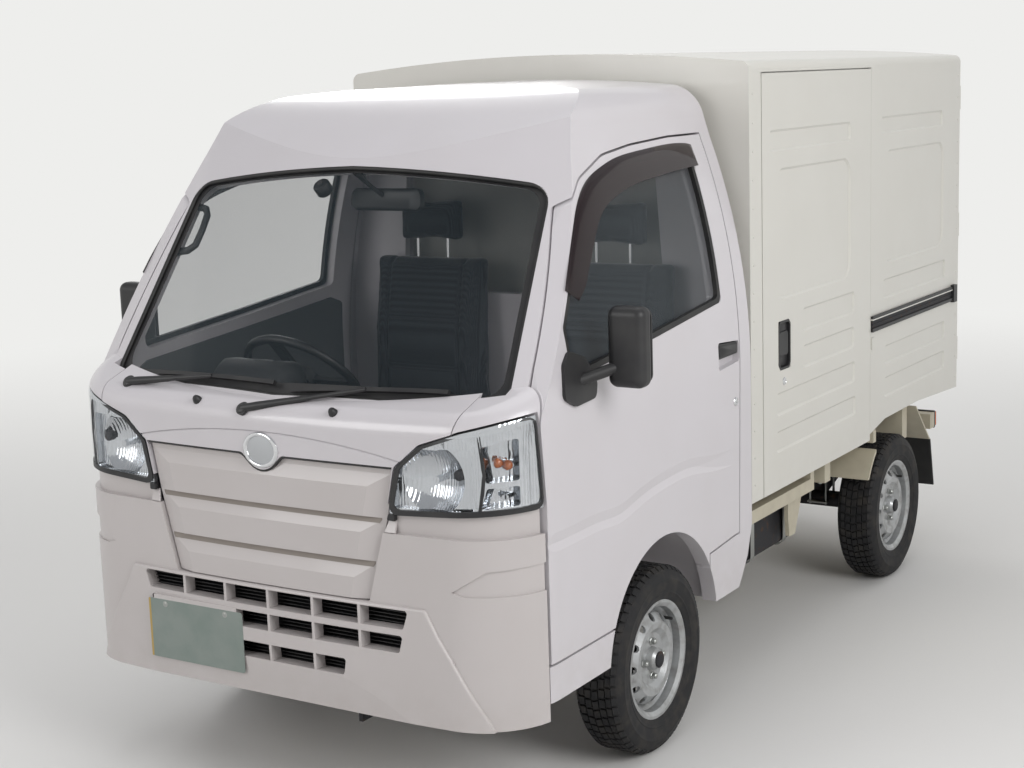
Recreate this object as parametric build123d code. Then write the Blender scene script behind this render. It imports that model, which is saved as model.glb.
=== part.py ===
"""Kei truck with a steel panel-van box, as separate named sub-parts.

Millimetres. +Z is up, the truck faces -Y and +X is its left side. The origin is on the
ground, midway between the outermost points. The cab is one rounded form made from its side,
front and plan outlines, and its panels are cut out of the skin between that form and the
same form one wall thickness further in.
"""
from build123d import *
from math import asin, cos, radians, sin, sqrt
import os

# Driving dimensions of the whole vehicle
LENGTH = 3395.0
WIDTH = 1475.0
WHEELBASE = 1900.0
FRONT_OVERHANG = 802.0
TRACK_FRONT = 1305.0
TRACK_REAR = 1300.0
AXLE_HEIGHT = 264.0

# Cab
CAB_REAR = 1374.0
CAB_WALL = 45.0
CAB_SILL = 345.0
WAIST_HEIGHT = 1000.0
ROOF_HEIGHT = 1855.0
GLASS_BASE = 67.0
GLASS_BASE_HEIGHT = 1085.0
GLASS_SLOPE = 55.5
GLASS_BOW_RADIUS = 2700.0
COWL_RISE = 0.35
NOSE_RADIUS = 60.0
GLASS_THICKNESS = 5.0
ARCH_RADIUS = 322.0
ARCH_HEIGHT = 300.0
PANEL_GAP = 3.0
DOOR_GAP = 6.0

# Box
BOX_HALF = 719.0
BOX_FRONT = 1417.0
BOX_SIDE_TOP = 1893.0
BOX_CROWN = 1930.0
BOX_BOTTOM = 566.0
BOX_WALL = 30.0
BOX_FLOOR_TOP = 655.0
REAR_DOOR_FACE = 3389.0

# Wheels, 12 inch steel rims
TYRE_RADIUS = AXLE_HEIGHT
TYRE_WIDTH = 145.0
RIM_RADIUS = 167.0
RIM_WIDTH = 118.0

os.makedirs("parts", exist_ok=True)


def y_at(distance):
    """Y of a place, given its distance behind the front bumper."""
    return distance - LENGTH / 2


def block(x0, x1, d0, d1, z0, z1):
    """A box between two X values, two distances behind the bumper and two heights."""
    centre = Pos((x0 + x1) / 2, y_at((d0 + d1) / 2), (z0 + z1) / 2)
    return centre * Box(x1 - x0, d1 - d0, z1 - z0)


def both_sides(solid):
    """A left-hand solid and its mirror image."""
    return solid + mirror(solid, about=Plane.YZ)


def rod(start, end, radius):
    """A round bar between two points given as (x, distance, z)."""
    a = Vector(start[0], y_at(start[1]), start[2])
    b = Vector(end[0], y_at(end[1]), end[2])
    return extrude(Plane(origin=a, z_dir=b - a) * Circle(radius), amount=(b - a).length)


def across(x0, x1, distance, z, radius):
    """A round bar along X."""
    return rod((x0, distance, z), (x1, distance, z), radius)


def side_outline(points, radius=0.0):
    """A face in the side view from (distance, height) points, its corners rounded."""
    corners = [(y_at(d), z) for d, z in points]
    radii = [radius] * len(corners) if isinstance(radius, (int, float)) else radius
    return Plane.YZ * make_face(FilletPolyline(*corners, radius=radii, close=True))


def side_prism(points, x0, x1, radius=0.0):
    """A side-view outline made solid from x0 to x1."""
    face = side_outline(points, radius)
    return Pos(x0, 0, 0) * extrude(face, amount=x1 - x0)


def front_prism(points, d0, d1, radius=0.0):
    """A front-view outline of (x, height) points made solid from d0 back to d1."""
    radii = [radius] * len(points) if isinstance(radius, (int, float)) else radius
    face = Plane.XZ * make_face(FilletPolyline(*points, radius=radii, close=True))
    return Pos(0, y_at(d0), 0) * extrude(face, amount=-(d1 - d0))


def save(name, shape):
    """Write one sub-part under its own name."""
    solids = shape.solids()
    result = solids[0] if len(solids) == 1 else Compound(solids)
    result.label = name
    export_step(result, f"parts/{name}.step")


def turn_left(v):
    return (-v[1], v[0])


def unit(v):
    size = sqrt(v[0] ** 2 + v[1] ** 2)
    return (v[0] / size, v[1] / size)


def arc_centre(a, m, b):
    """Centre of the circle through three points."""
    ax, ay, bx, by = a[0] - m[0], a[1] - m[1], b[0] - m[0], b[1] - m[1]
    cross = 2 * (ax * by - ay * bx)
    sa, sb = ax * ax + ay * ay, bx * bx + by * by
    return (m[0] + (by * sa - ay * sb) / cross, m[1] + (ax * sb - bx * sa) / cross)


def inset_path(path, inset):
    """Bring a closed path inwards. Each row is a corner and the middle of the arc after it, or None."""
    corners = [row[0] for row in path]
    following = corners[1:] + corners[:1]
    area = sum(p[0] * q[1] - p[1] * q[0] for p, q in zip(corners, following))
    inward = inset if area > 0 else -inset
    starts, ends, middles = [], [], []
    for (p, m), q in zip(path, following):
        if m is None:
            starts.append(unit((q[0] - p[0], q[1] - p[1])))
            ends.append(starts[-1])
            middles.append(None)
            continue
        c = arc_centre(p, m, q)
        bend = (m[0] - p[0]) * (q[1] - m[1]) - (m[1] - p[1]) * (q[0] - m[0])
        way = 1 if bend > 0 else -1
        tangents = [unit(turn_left((way * (v[0] - c[0]), way * (v[1] - c[1])))) for v in (p, m, q)]
        starts.append(tangents[0])
        ends.append(tangents[2])
        normal = turn_left(tangents[1])
        middles.append((m[0] + normal[0] * inward, m[1] + normal[1] * inward))
    moved = []
    for i, p in enumerate(corners):
        n1, n2 = turn_left(ends[i - 1]), turn_left(starts[i])
        share = inward / (1 + n1[0] * n2[0] + n1[1] * n2[1])
        moved.append((p[0] + (n1[0] + n2[0]) * share, p[1] + (n1[1] + n2[1]) * share))
    return list(zip(moved, middles))


def inset_points(points, inset):
    """Bring a polygon of straight sides inwards, or outwards when the inset is negative."""
    return [corner for corner, _ in inset_path([(p, None) for p in points], inset)]


def path_face(path, inset=0.0):
    """A face from a closed path of lines and arcs."""
    rows = inset_path(path, inset)
    edges = []
    for (p, m), (q, _) in zip(rows, rows[1:] + rows[:1]):
        edges.append(Line(p, q) if m is None else ThreePointArc(p, m, q))
    return make_face(edges)


def mirrored(half_path):
    """Close a right-hand path, whose first and last corners lie beside the axis, with its mirror."""
    left = []
    rows = half_path[::-1]
    for (p, _), following in zip(rows, rows[1:] + [(None, None)]):
        middle = following[1]
        left.append(((-p[0], p[1]), (-middle[0], middle[1]) if middle else None))
    return half_path + left


# The cab's outer form: rows are a corner and, where an arc follows, its middle
CAB_SIDE = [
    ((38, 100), None), ((6, 452), None), ((0, 500), None), ((0, 1150), None),
    ((400, 1602), (620, 1768)), ((960, 1845), None), ((CAB_REAR, ROOF_HEIGHT), None), ((CAB_REAR, 100), None),
]
CAB_FRONT = mirrored([
    ((WIDTH / 2, 100), None), ((WIDTH / 2, WAIST_HEIGHT), (704, 1350)), ((613, 1675), None),
    ((594, 1735), (557, 1800)), ((480, 1832), (0, ROOF_HEIGHT)),
])
# In plan a wide front arc runs tangent into the two corner arcs
FRONT_FACE = 8.0
FRONT_BOW = 8034.0
CORNER = 200.0
CORNER_X = WIDTH / 2 - CORNER
CORNER_DISTANCE = FRONT_FACE + FRONT_BOW - sqrt((FRONT_BOW - CORNER) ** 2 - CORNER_X**2)
LEAN = asin(CORNER_X / (FRONT_BOW - CORNER))
HALF_TURN = (radians(90) + LEAN) / 2
CAB_PLAN = mirrored([
    ((WIDTH / 2, CAB_REAR), None),
    ((WIDTH / 2, CORNER_DISTANCE),
     (CORNER_X + CORNER * sin(HALF_TURN), CORNER_DISTANCE - CORNER * cos(HALF_TURN))),
    ((FRONT_BOW * sin(LEAN), FRONT_FACE + FRONT_BOW * (1 - cos(LEAN))), (0, FRONT_FACE)),
])


def to_y(path):
    """Turn distances behind the bumper, first in each pair, into Y."""
    return [((y_at(p[0]), p[1]), (y_at(m[0]), m[1]) if m else None) for p, m in path]


def plan_to_y(path):
    return [((p[0], y_at(p[1])), (m[0], y_at(m[1])) if m else None) for p, m in path]


def behind_glass(inset):
    """All that lies behind the bowed windscreen surface, which is straight along its slope."""
    slope = radians(GLASS_SLOPE)
    origin = (0, y_at(GLASS_BASE), GLASS_BASE_HEIGHT)
    plane = Plane(origin=origin, x_dir=(1, 0, 0), z_dir=(0, cos(slope), sin(slope)))
    reach = 900.0
    bow = GLASS_BOW_RADIUS - sqrt(GLASS_BOW_RADIUS**2 - reach**2)
    bowed = ThreePointArc((-reach, bow + inset), (0, inset), (reach, bow + inset))
    rest = Polyline((reach, bow + inset), (reach, 2500), (-reach, 2500), (-reach, bow + inset))
    return extrude(plane * make_face([bowed] + list(rest.edges())), amount=2500, both=True)


def nose(inset):
    """The front under the cowl, which rises gently to the glass, with its top edge rounded over."""
    drop = inset * sqrt(1 + COWL_RISE**2)

    def cowl(distance):
        return GLASS_BASE_HEIGHT + COWL_RISE * (distance - GLASS_BASE) - drop

    far = 600.0
    under = side_prism([(-60, cowl(-60)), (far, cowl(far)), (far, 0), (-60, 0)], -900, 900)
    body = extrude(path_face(plan_to_y(CAB_PLAN), inset), amount=2500) & under
    rim = []
    for edge in body.edges():
        middle = edge.position_at(0.5)
        distance = middle.Y + LENGTH / 2
        if distance < far - 20 and abs(middle.Z - cowl(distance)) < 2:
            rim.append(edge)
    return fillet(rim, max(NOSE_RADIUS - inset, 4))


def side_and_front(inset):
    """What the side outline and the front outline have in common."""
    form = extrude(Plane.YZ * path_face(to_y(CAB_SIDE), inset), amount=900, both=True)
    return form & extrude(Plane.XZ * path_face(CAB_FRONT, inset), amount=2500, both=True)


def cab_form(inset):
    """The cab's form, brought in by the inset on every face."""
    form = side_and_front(inset) & extrude(path_face(plan_to_y(CAB_PLAN), inset), amount=2500)
    return form & (behind_glass(inset) + nose(inset))


OUTER = cab_form(0)
INNER = cab_form(CAB_WALL)
SKIN = OUTER - INNER
LAMP_DEPTH = 40.0
LAMP_LENS = 3.0
BUMPER_DEPTH = 28.0
RAISE = 8.0
PANEL_DEPTH = 12.0
BUMPER_INNER = cab_form(BUMPER_DEPTH)
BUMPER_LAYER = OUTER - BUMPER_INNER


def side_form(inset):
    """The space between the cab's two sides alone."""
    return extrude(Plane.XZ * path_face(CAB_FRONT, inset), amount=2500, both=True)


def side_layer(start, end):
    """A layer of the left side, between two depths below its surface."""
    return (side_form(start) - side_form(end)) & block(400, 900, -20, 1500, 0, 1720)


# Outlines of the panels on the cab
FENDER_LINE = 184.0
HINGE_DISTANCE = 196.0
HINGE_X = 735.0
LATCH_LOW = (515.0, 1288.0)
LATCH_HIGH = (1673.0, 1320.0)

DOOR_OUTLINE = [
    (186, 438), (186, 845), (170, 1066), (274, 1259), (326, 1347), (387, 1435), (467, 1545),
    (552, 1611), (707, 1663), (876, 1681), (1107, 1692), (1420, 1692), (1420, 511), (1250, 508),
    (1085, 495), (1085, 438),
]
DOOR_RADII = [0, 300, 120, 0, 0, 0, 80, 100, 150, 300, 300, 0, 0, 0, 0, 0]
WINDOW_OUTLINE = [
    (330, 1128), (316, 1262), (430, 1438), (505, 1532), (590, 1590), (720, 1626), (860, 1646),
    (1100, 1652), (1214, 1636), (1203, 1214), (800, 1172),
]
WINDOW_RADII = [25, 25, 0, 120, 150, 200, 300, 200, 40, 18, 0]


def latch_cone(extra):
    """The door's rear edge is turned about the hinge line, so that it swings clear."""
    radii = [distance - HINGE_DISTANCE + extra for _, distance in (LATCH_LOW, LATCH_HIGH)]
    slope = (radii[1] - radii[0]) / (LATCH_HIGH[0] - LATCH_LOW[0])
    low = radii[0] + slope * (200 - LATCH_LOW[0])
    high = radii[0] + slope * (2000 - LATCH_LOW[0])
    return Pos(HINGE_X, y_at(HINGE_DISTANCE), 1100) * Cone(low, high, 1800)


def door_zone(gap):
    """The left door's outline through the skin, drawn in by the gap."""
    return side_prism(inset_points(DOOR_OUTLINE, gap), 400, 900, DOOR_RADII) & latch_cone(-gap)


WINDOW_ZONE = side_prism(WINDOW_OUTLINE, 300, 900, WINDOW_RADII)
ARCH = across(560, 760, FRONT_OVERHANG, ARCH_HEIGHT, ARCH_RADIUS)
DOOR_HOLE = door_zone(0) & side_layer(-20, CAB_WALL + DOOR_GAP)

# The windscreen's outline, across and up the slope from the glass base
WINDSCREEN_OUTLINE = [(-650, 40), (0, 4), (650, 40), (592, 664), (0, 682), (-592, 664)]
WINDSCREEN_RADII = [40, 0, 40, 70, 0, 70]


def windscreen_zone(gap):
    slope = radians(GLASS_SLOPE)
    origin = (0, y_at(GLASS_BASE), GLASS_BASE_HEIGHT)
    plane = Plane(origin=origin, x_dir=(1, 0, 0), z_dir=(0, -sin(slope), cos(slope)))
    wire = FilletPolyline(*inset_points(WINDSCREEN_OUTLINE, gap), radius=WINDSCREEN_RADII, close=True)
    zone = extrude(plane * make_face(wire), amount=260, both=True)
    return zone & (behind_glass(-20) - behind_glass(CAB_WALL + 8))


REAR_WINDOW_OUTLINE = [(-480, 1190), (480, 1190), (450, 1620), (-450, 1620)]
LAMP_OUTLINE = [(385, 826), (410, 945), (480, 1005), (590, 1042), (760, 1085), (760, 845)]
LAMP_RADII = [6, 20, 40, 60, 0, 0]
GARNISH_OUTLINE = [(-400, 944), (-66, 944), (0, 880), (66, 944), (400, 944), (376, 815), (318, 600)]
GARNISH_OUTLINE += [(-318, 600), (-376, 815)]
GARNISH_RADII = [0, 20, 56, 20, 0, 0, 8, 8, 0]


def lamp_zone(gap):
    """The lamp's outline, ending along the door's leaning front edge."""
    zone = front_prism(inset_points(LAMP_OUTLINE, gap), -20, FENDER_LINE, LAMP_RADII)
    rear = FENDER_LINE - gap
    ahead = side_prism([(-60, 0), (rear, 0), (rear, 845), (rear - 19, 1110), (-60, 1110)], 300, 900)
    return zone & ahead


def garnish_zone(gap):
    return front_prism(inset_points(GARNISH_OUTLINE, gap), -20, 180, GARNISH_RADII)


# Grille openings in the bumper: height of each row's foot and top, half width there
GRILLE_ROWS = [(541, 590, 420, 436), (479, 524, 406, 418), (398, 442, 236, 244)]
GRILLE_BAR_PITCH = 145.0
GRILLE_BAR = 8.0


# Two screws hold the number plate
PLATE_X = -255.0
PLATE_HOLES = 210.0
PLATE_HOLE_HEIGHT = 502.0
PLATE_HOLE_RADIUS = 3.5


def grille_slots():
    """The rows of cells, each a slot less its upright bars."""
    slots = None
    for foot, top, half_low, half_high in GRILLE_ROWS:
        corners = [(-half_low, foot), (half_low, foot), (half_high, top), (-half_high, top)]
        row = front_prism(corners, -20, 120, 8)
        bars = range(int(-half_low // GRILLE_BAR_PITCH) + 1, int(half_low // GRILLE_BAR_PITCH) + 1)
        for place in bars:
            centre = place * GRILLE_BAR_PITCH
            row -= block(centre - GRILLE_BAR / 2, centre + GRILLE_BAR / 2, -30, 130, foot - 5, top + 5)
        slots = row if slots is None else slots + row
    return slots


# The bumper's raised middle, its shoulder under the lamps and the wedge at its corners
RAISED_OUTLINE = [(-483, 598), (483, 598), (517, 534), (559, 469), (640, 328), (656, 290), (-656, 290)]
RAISED_OUTLINE += [(-640, 328), (-559, 469), (-517, 534)]
RAISED_RADII = [12, 12, 0, 0, 0, 0, 0, 0, 0, 0]
SHOULDER_HEIGHT = 780.0
SHOULDER_LEAN = 20.0
WEDGE_OUTLINE = [(557, 649), (606, 680), (641, 703), (800, 712), (800, 637), (590, 640)]


def raised_middle():
    """A curved plate over the bumper's middle, its front edges rounded."""
    plate = front_prism(RAISED_OUTLINE, -40, 160, RAISED_RADII) & block(-800, 800, -40, 160, 300, 900)
    plate &= cab_form(-RAISE) - cab_form(4)
    rim = [edge for edge in plate.edges().filter_by(front_rim)]
    return fillet(rim, 6)


def front_rim(edge):
    """Whether an edge of the raised middle lies on its front face and not along its foot."""
    middle = edge.position_at(0.5)
    ahead = middle.Y + LENGTH / 2 - (FRONT_FACE - RAISE) - middle.X**2 / (2 * FRONT_BOW)
    foot = abs(middle.Z - 300) < 1
    crease = abs(middle.X) < 1 and abs(edge.tangent_at(0.5).X) > 0.9 and 310 < middle.Z < 590
    return abs(ahead) < (430 - middle.Z) * 0.1 + 4 and not foot and not crease


def shoulder_limit():
    """The bumper's upright form, which leans back above the shoulder line."""
    plan = path_face(plan_to_y(CAB_PLAN), -RAISE)
    upright = extrude(plan, amount=SHOULDER_HEIGHT)
    leaning = extrude(Pos(0, 0, SHOULDER_HEIGHT) * path_face(plan_to_y(CAB_PLAN), 0), amount=90, taper=SHOULDER_LEAN)
    return upright + leaning


def plate_seat():
    """A flat seat across the grille for the number plate, drilled for its two screws."""
    seat = block(PLATE_X - 145, PLATE_X + 145, 0, 26, PLATE_HOLE_HEIGHT - 24, PLATE_HOLE_HEIGHT + 24)
    for x in (PLATE_X - PLATE_HOLES / 2, PLATE_X + PLATE_HOLES / 2):
        seat -= rod((x, -30, PLATE_HOLE_HEIGHT), (x, 200, PLATE_HOLE_HEIGHT), PLATE_HOLE_RADIUS)
    return seat


def front_bumper():
    zone = block(-800, 800, -40, FENDER_LINE - PANEL_GAP / 2, 300, 870)
    bumper = (BUMPER_LAYER & zone) + raised_middle()
    bumper -= garnish_zone(-PANEL_GAP / 2)
    bumper -= both_sides(lamp_zone(-PANEL_GAP / 2))
    bumper -= front_prism([(-400, 940), (400, 940), (400, 780), (-400, 780)], -20, 200)
    bumper &= shoulder_limit() + cab_form(BUMPER_DEPTH / 2)
    wedge = front_prism(WEDGE_OUTLINE, -20, 190) - cab_form(5)
    bumper -= both_sides(wedge)
    bumper -= grille_slots()
    for x in (PLATE_X - PLATE_HOLES / 2, PLATE_X + PLATE_HOLES / 2):
        bumper -= rod((x, -30, PLATE_HOLE_HEIGHT), (x, 200, PLATE_HOLE_HEIGHT), PLATE_HOLE_RADIUS + 4)
    beam = block(-560, 560, 24, 66, 448, 474)
    return bumper + plate_seat() + beam


# The garnish between the lamps: three ribs, each a sloping ledge over an upright face
RIB_DEPTH = 12.0
RIB_ROWS = [(926, 893, 817), (809, 775, 704), (695, 656, 590)]


def front_garnish():
    """The ribs' section turned about the far axis of the front's bow, its ends bevelled."""
    front = FRONT_FACE
    profile = [(front + BUMPER_DEPTH, 560), (front + BUMPER_DEPTH, 950), (front + RIB_DEPTH, 950)]
    for ledge, face_top, face_foot in RIB_ROWS:
        profile += [(front + RIB_DEPTH, ledge), (front, face_top), (front, face_foot)]
        profile += [(front + RIB_DEPTH, face_foot - 3)]
    profile += [(front + RIB_DEPTH, 560)]
    section = Plane.YZ * make_face(Polyline(*[(y_at(d), z) for d, z in profile], close=True))
    far_axis = Axis((0, y_at(FRONT_FACE + FRONT_BOW), 0), (0, 0, 1))
    ribs = revolve(section, far_axis, 4) + revolve(section, far_axis, -4)
    return (ribs & garnish_zone(PANEL_GAP / 2)) - both_sides(rib_bevel())


def rib_bevel():
    """What lies outside the slanted plane that ends the ribs on the left."""

    def on_front(x, z, depth):
        return Vector(x, y_at(FRONT_FACE + x**2 / (2 * FRONT_BOW) + depth), z)

    foot, top, edge = on_front(262, 598, 0), on_front(327, 893, 0), on_front(389, 926, RIB_DEPTH)
    normal = (top - foot).cross(edge - foot)
    if normal.Y > 0:
        normal = normal * -1
    return extrude(Plane(origin=top, z_dir=normal) * Rectangle(2000, 2000), amount=300)


def panel_zone(gap):
    """The fixed front panel's outline, between its side seams and up to the glass base."""
    outline = [(-402, 930), (402, 930), (470, 960), (574, 1000), (570, 1037), (580, 1085), (580, 1300)]
    outline += [(-580, 1300), (-580, 1085), (-570, 1037), (-574, 1000), (-470, 960)]
    return front_prism(inset_points(outline, gap), -20, 220) - behind_glass(-4 - gap)


def front_panel():
    panel = (OUTER - cab_form(PANEL_DEPTH)) & panel_zone(0)
    return panel - garnish_zone(-PANEL_GAP) - both_sides(lamp_zone(-PANEL_GAP))


def cab_shell():
    zone = block(-800, 800, -40, 1500, CAB_SILL, 2000)
    front_low = block(-800, 800, -40, FENDER_LINE + PANEL_GAP, 0, 848)
    shell = (SKIN & zone) - front_low
    shell -= garnish_zone(-PANEL_GAP)
    shell -= both_sides(lamp_zone(-PANEL_GAP - 1.5))
    shell -= both_sides(lamp_pot(4))
    shell -= panel_zone(-PANEL_GAP) - cab_form(PANEL_DEPTH)
    shell -= block(-384, 384, -40, 120, 300, 900)
    shell -= both_sides(DOOR_HOLE + ARCH)
    shell -= windscreen_zone(0)
    shell -= front_prism(REAR_WINDOW_OUTLINE, CAB_REAR - 90, CAB_REAR + 20, 40)
    shell -= both_sides(block(600, 800, 100, 600, 200, 460) + block(600, 800, 183, 188, 840, 885))
    corner = side_prism([(1240, 300), (1400, 300), (1400, 560), (1374, 520), (1342, 430), (1300, 372)], -800, 800)
    return shell - corner


def front_sill():
    """The lower piece between the bumper and the wheel arch, under the door's front corner."""
    sill = SKIN & block(600, 800, FENDER_LINE + PANEL_GAP / 2, 600, CAB_SILL, 438)
    return (sill - ARCH) + block(660, 700, 200, 452, FOOTWELL_TOP - SHEET, FOOTWELL_TOP)


# The headlamp: a housing with a round bowl and two chambers behind one clear lens
BOWL_CENTRE = (515.0, 922.0)
BOWL_RADIUS = 92.0
BOWL_DEPTH = 66.0
SIGNAL_CHAMBER = [(636, 1008), (646, 920), (704, 924), (704, 1026)]
POSITION_CHAMBER = [(634, 856), (648, 908), (704, 910), (704, 862)]


def lamp_pot(extra):
    """The round back of the main bowl."""
    x, z = BOWL_CENTRE
    pot = rod((x, 20, z), (x, FRONT_FACE + BOWL_DEPTH + 16 + extra, z), BOWL_RADIUS + 6 + extra)
    return pot & block(386, 700, 0, 200, 830, 1040)


def lamp_bowl():
    """The reflector's hollow, a curved profile turned about the lamp's axis."""
    x, z = BOWL_CENTRE
    deep, wide = BOWL_DEPTH, BOWL_RADIUS
    edges = [
        Line((0, 0), (wide, 0)), Line((wide, 0), (wide, 14)),
        ThreePointArc((wide, 14), (wide * 0.72, deep * 0.66), (16, deep)), Line((16, deep), (0, deep)),
        Line((0, deep), (0, 0)),
    ]
    place = Plane(origin=(x, y_at(FRONT_FACE + 10), z), x_dir=(1, 0, 0), z_dir=(0, 0, 1))
    return revolve(place * make_face(edges), Axis((x, 0, z), (0, 1, 0)))


def headlamp():
    x, z = BOWL_CENTRE
    behind = cab_form(LAMP_DEPTH) - lamp_pot(0)
    housing = (cab_form(LAMP_LENS) & lamp_zone(PANEL_GAP / 2)) - behind
    face = cab_form(LAMP_LENS - 1)
    housing -= lamp_bowl() & block(404, 618, 0, 200, 846, 998)
    shallow = front_prism([(404, 847), (404, 904), (465, 979), (542, 1002), (618, 1002), (618, 847)], -20, 60, 8)
    housing -= shallow & (face - cab_form(16))
    for chamber in (SIGNAL_CHAMBER, POSITION_CHAMBER):
        housing -= front_prism(chamber, -20, 190, 5) & (face - cab_form(30))
    bulbs = rod((662, 30, 966), (662, 130, 966), 8) + rod((684, 30, 960), (684, 150, 960), 8)
    bulbs += rod((676, 30, 884), (676, 140, 884), 6)
    bulbs &= cab_form(10) - cab_form(34)
    return housing + bulbs + rod((x, FRONT_FACE + 36, z), (x, FRONT_FACE + 80, z), 9)


def headlamp_lens():
    return (cab_form(0) - cab_form(LAMP_LENS)) & lamp_zone(PANEL_GAP / 2)


# The pressed line over the wheel arch, seen from the side
FLARE_LINE = [(150, 750), (340, 747), (470, 746), (560, 742), (640, 756), (736, 771), (874, 780), (977, 778),
              (1073, 764), (1150, 756), (1300, 752)]
FLARE_DEPTH = 5.0


def flare_groove():
    """A shallow V pressed along the flare line, running out before the door's rear edge."""
    line = Spline(*[(WIDTH / 2, y_at(d), z) for d, z in FLARE_LINE])
    start = Plane(origin=line @ 0, x_dir=(1, 0, 0), z_dir=line % 0)
    section = start * make_face(Polyline((3, 28), (3, -28), (0, -24), (-FLARE_DEPTH, 3), (0, 24), close=True))
    fade = side_prism([(100, 600), (100, 900), (1260, 900), (1260, 600)], 700, 760)
    fade &= front_limit()
    return sweep(section, path=line) & fade


def front_limit():
    """Everything outside an upright plane that leaves the panel as it goes back."""
    outline = [(WIDTH / 2 + 40, y_at(60)), (WIDTH / 2 - 20, y_at(60)), (WIDTH / 2 - FLARE_DEPTH, y_at(1020)),
               (WIDTH / 2 + 0.5, y_at(1262)), (WIDTH / 2 + 40, y_at(1262))]
    return extrude(make_face(Polyline(*outline, close=True)), amount=1500)


def cab_door():
    door = side_layer(0, CAB_WALL) & OUTER & door_zone(DOOR_GAP)
    door = door - ARCH - WINDOW_ZONE - flare_groove()
    handle = side_prism([(1157, 1019), (1157, 1100), (1294, 1090), (1294, 1030)], 716, 760, 10)
    return door - handle


# Wheel well, floor pan and seat riser under the cab
WELL_RADIUS = 345.0
WELL_INNER = 415.0
SHEET = 20.0
RISER_TOP = 680.0
FOOTWELL_TOP = 432.0


def cab_floor():
    side = WIDTH / 2 - CAB_WALL
    d = FRONT_OVERHANG
    toe = side_prism([(118, 1010), (138, 1010), (138, 520), (240, FOOTWELL_TOP), (240, 412), (118, 500)], -side, side)
    pan = block(-side, side, 200, 452, FOOTWELL_TOP - SHEET, FOOTWELL_TOP)
    riser = block(-side, side, 432, 452, FOOTWELL_TOP, RISER_TOP)
    top = block(-side, side, 432, 1328, RISER_TOP - SHEET, RISER_TOP)
    back = block(-side, side, 1308, CAB_REAR - CAB_WALL, 400, RISER_TOP)
    wells = across(WELL_INNER - SHEET, side, d, ARCH_HEIGHT, WELL_RADIUS + SHEET)
    wells &= block(0, 800, 0, 1500, CAB_SILL, 900)
    hollow = across(WELL_INNER, side + 10, d, ARCH_HEIGHT, WELL_RADIUS)
    floor = toe + pan + riser + top + back + both_sides(wells)
    floor -= both_sides(hollow)
    tunnel = block(-352, 352, 420, 1340, 300, 640)
    floor -= tunnel
    floor &= cab_form(CAB_WALL + 9) + block(-600, 600, 1300, CAB_REAR - CAB_WALL, 400, RISER_TOP)
    return floor + both_sides(front_sill())


# Chassis
RAIL_X = 320.0
RAIL_HALF = 28.0


CROSS_MEMBERS = [(100, 330, 400), (470, 325, 395), (1400, 380, 445), (2050, 385, 455), (3270, 430, 495)]
OUTRIGGERS = [1480, 2150, 2920]


def frame():
    inner = RAIL_X - RAIL_HALF
    outer = RAIL_X + RAIL_HALF
    rail = side_prism([
        (66, 410), (66, 320), (430, 320), (1500, 330), (2250, 360), (2420, 440), (3000, 440),
        (3160, 420), (3300, 420), (3300, 500), (3000, 540), (2400, 540), (2200, 470),
        (1500, 450), (1330, 405), (430, 405)], inner, outer)
    frame_solid = both_sides(rail)
    for distance, foot, top in CROSS_MEMBERS:
        frame_solid += block(-inner - 2, inner + 2, distance - 28, distance + 28, foot, top)
    for distance in OUTRIGGERS:
        frame_solid += block(-668, 668, distance - 25, distance + 25, 470, 530)
    rest = block(-outer, outer, 1455, 3050, 530, BOX_BOTTOM + 24)
    rest -= block(-inner + 4, inner - 4, 1400, 3200, 500, 620)
    for distance in OUTRIGGERS:
        rest += block(-668, 668, distance - 25, distance + 25, 530, BOX_BOTTOM + 24)
    rest += both_sides(side_rail())
    return frame_solid + rest


def side_rail():
    """The low rail under the side door's sill, with the bracket that closes it."""
    rail = block(628, 668, 1455, 2016, 470, 512)
    plate = side_prism([(1914, 330), (1962, 330), (2031, 478), (2031, 512), (1904, 512), (1904, 400)], 614, 628, 6)
    return rail + plate + block(614, 668, 2000, 2031, 470, 566)


def engine_block():
    return block(-230, 230, 720, 1290, 322, 630)


# Front suspension: the steering axis leans in with the strut
HUB_BACK = 18.0
STEER_LOW = (612.0, 160.0)
STEER_HIGH = (500.0, 700.0)


def steer_x(z):
    return STEER_LOW[0] + (STEER_HIGH[0] - STEER_LOW[0]) * (z - STEER_LOW[1]) / (STEER_HIGH[1] - STEER_LOW[1])


def front_suspension():
    d = FRONT_OVERHANG
    member = block(-RAIL_X - RAIL_HALF, RAIL_X + RAIL_HALF, d - 60, d + 60, 200, 320)
    arm = rod((RAIL_X + 10, d, 235), (600, d, 147), 14)
    arm += rod((steer_x(150), d, 133), (steer_x(150), d, 166), 20)
    rack = across(-360, 360, d - 120, 250, 22)
    rack += block(-200, 200, d - 130, d - 50, 232, 268)
    return member + both_sides(arm) + rack


def knuckle():
    """Left upright, hub carrier and strut, all about the steering axis."""
    d = FRONT_OVERHANG
    strut = rod((steer_x(330), d, 330), (steer_x(640), d, 640), 20)
    upright = rod((steer_x(177), d, 177), (steer_x(345), d, 345), 25)
    carrier = across(steer_x(AXLE_HEIGHT) - 10, TRACK_FRONT / 2 - 6, d, AXLE_HEIGHT, 42)
    spindle = across(TRACK_FRONT / 2 - 8, TRACK_FRONT / 2 + HUB_BACK - 1, d, AXLE_HEIGHT, 22)
    return strut + upright + carrier + spindle


# Wheels
WHEEL_FACE_OFFSET = 40.0
HOLE_COUNT = 12
HOLE_CIRCLE = 118.0
HOLE_RADIUS = 11.0
HUB_RADIUS = 48.0


def turned(profile):
    """A profile of (radius, offset) points turned about the X axis."""
    face = Plane.XZ * make_face(Polyline(*[(x, r) for r, x in profile], close=True))
    return revolve(face, Axis.X)


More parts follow.
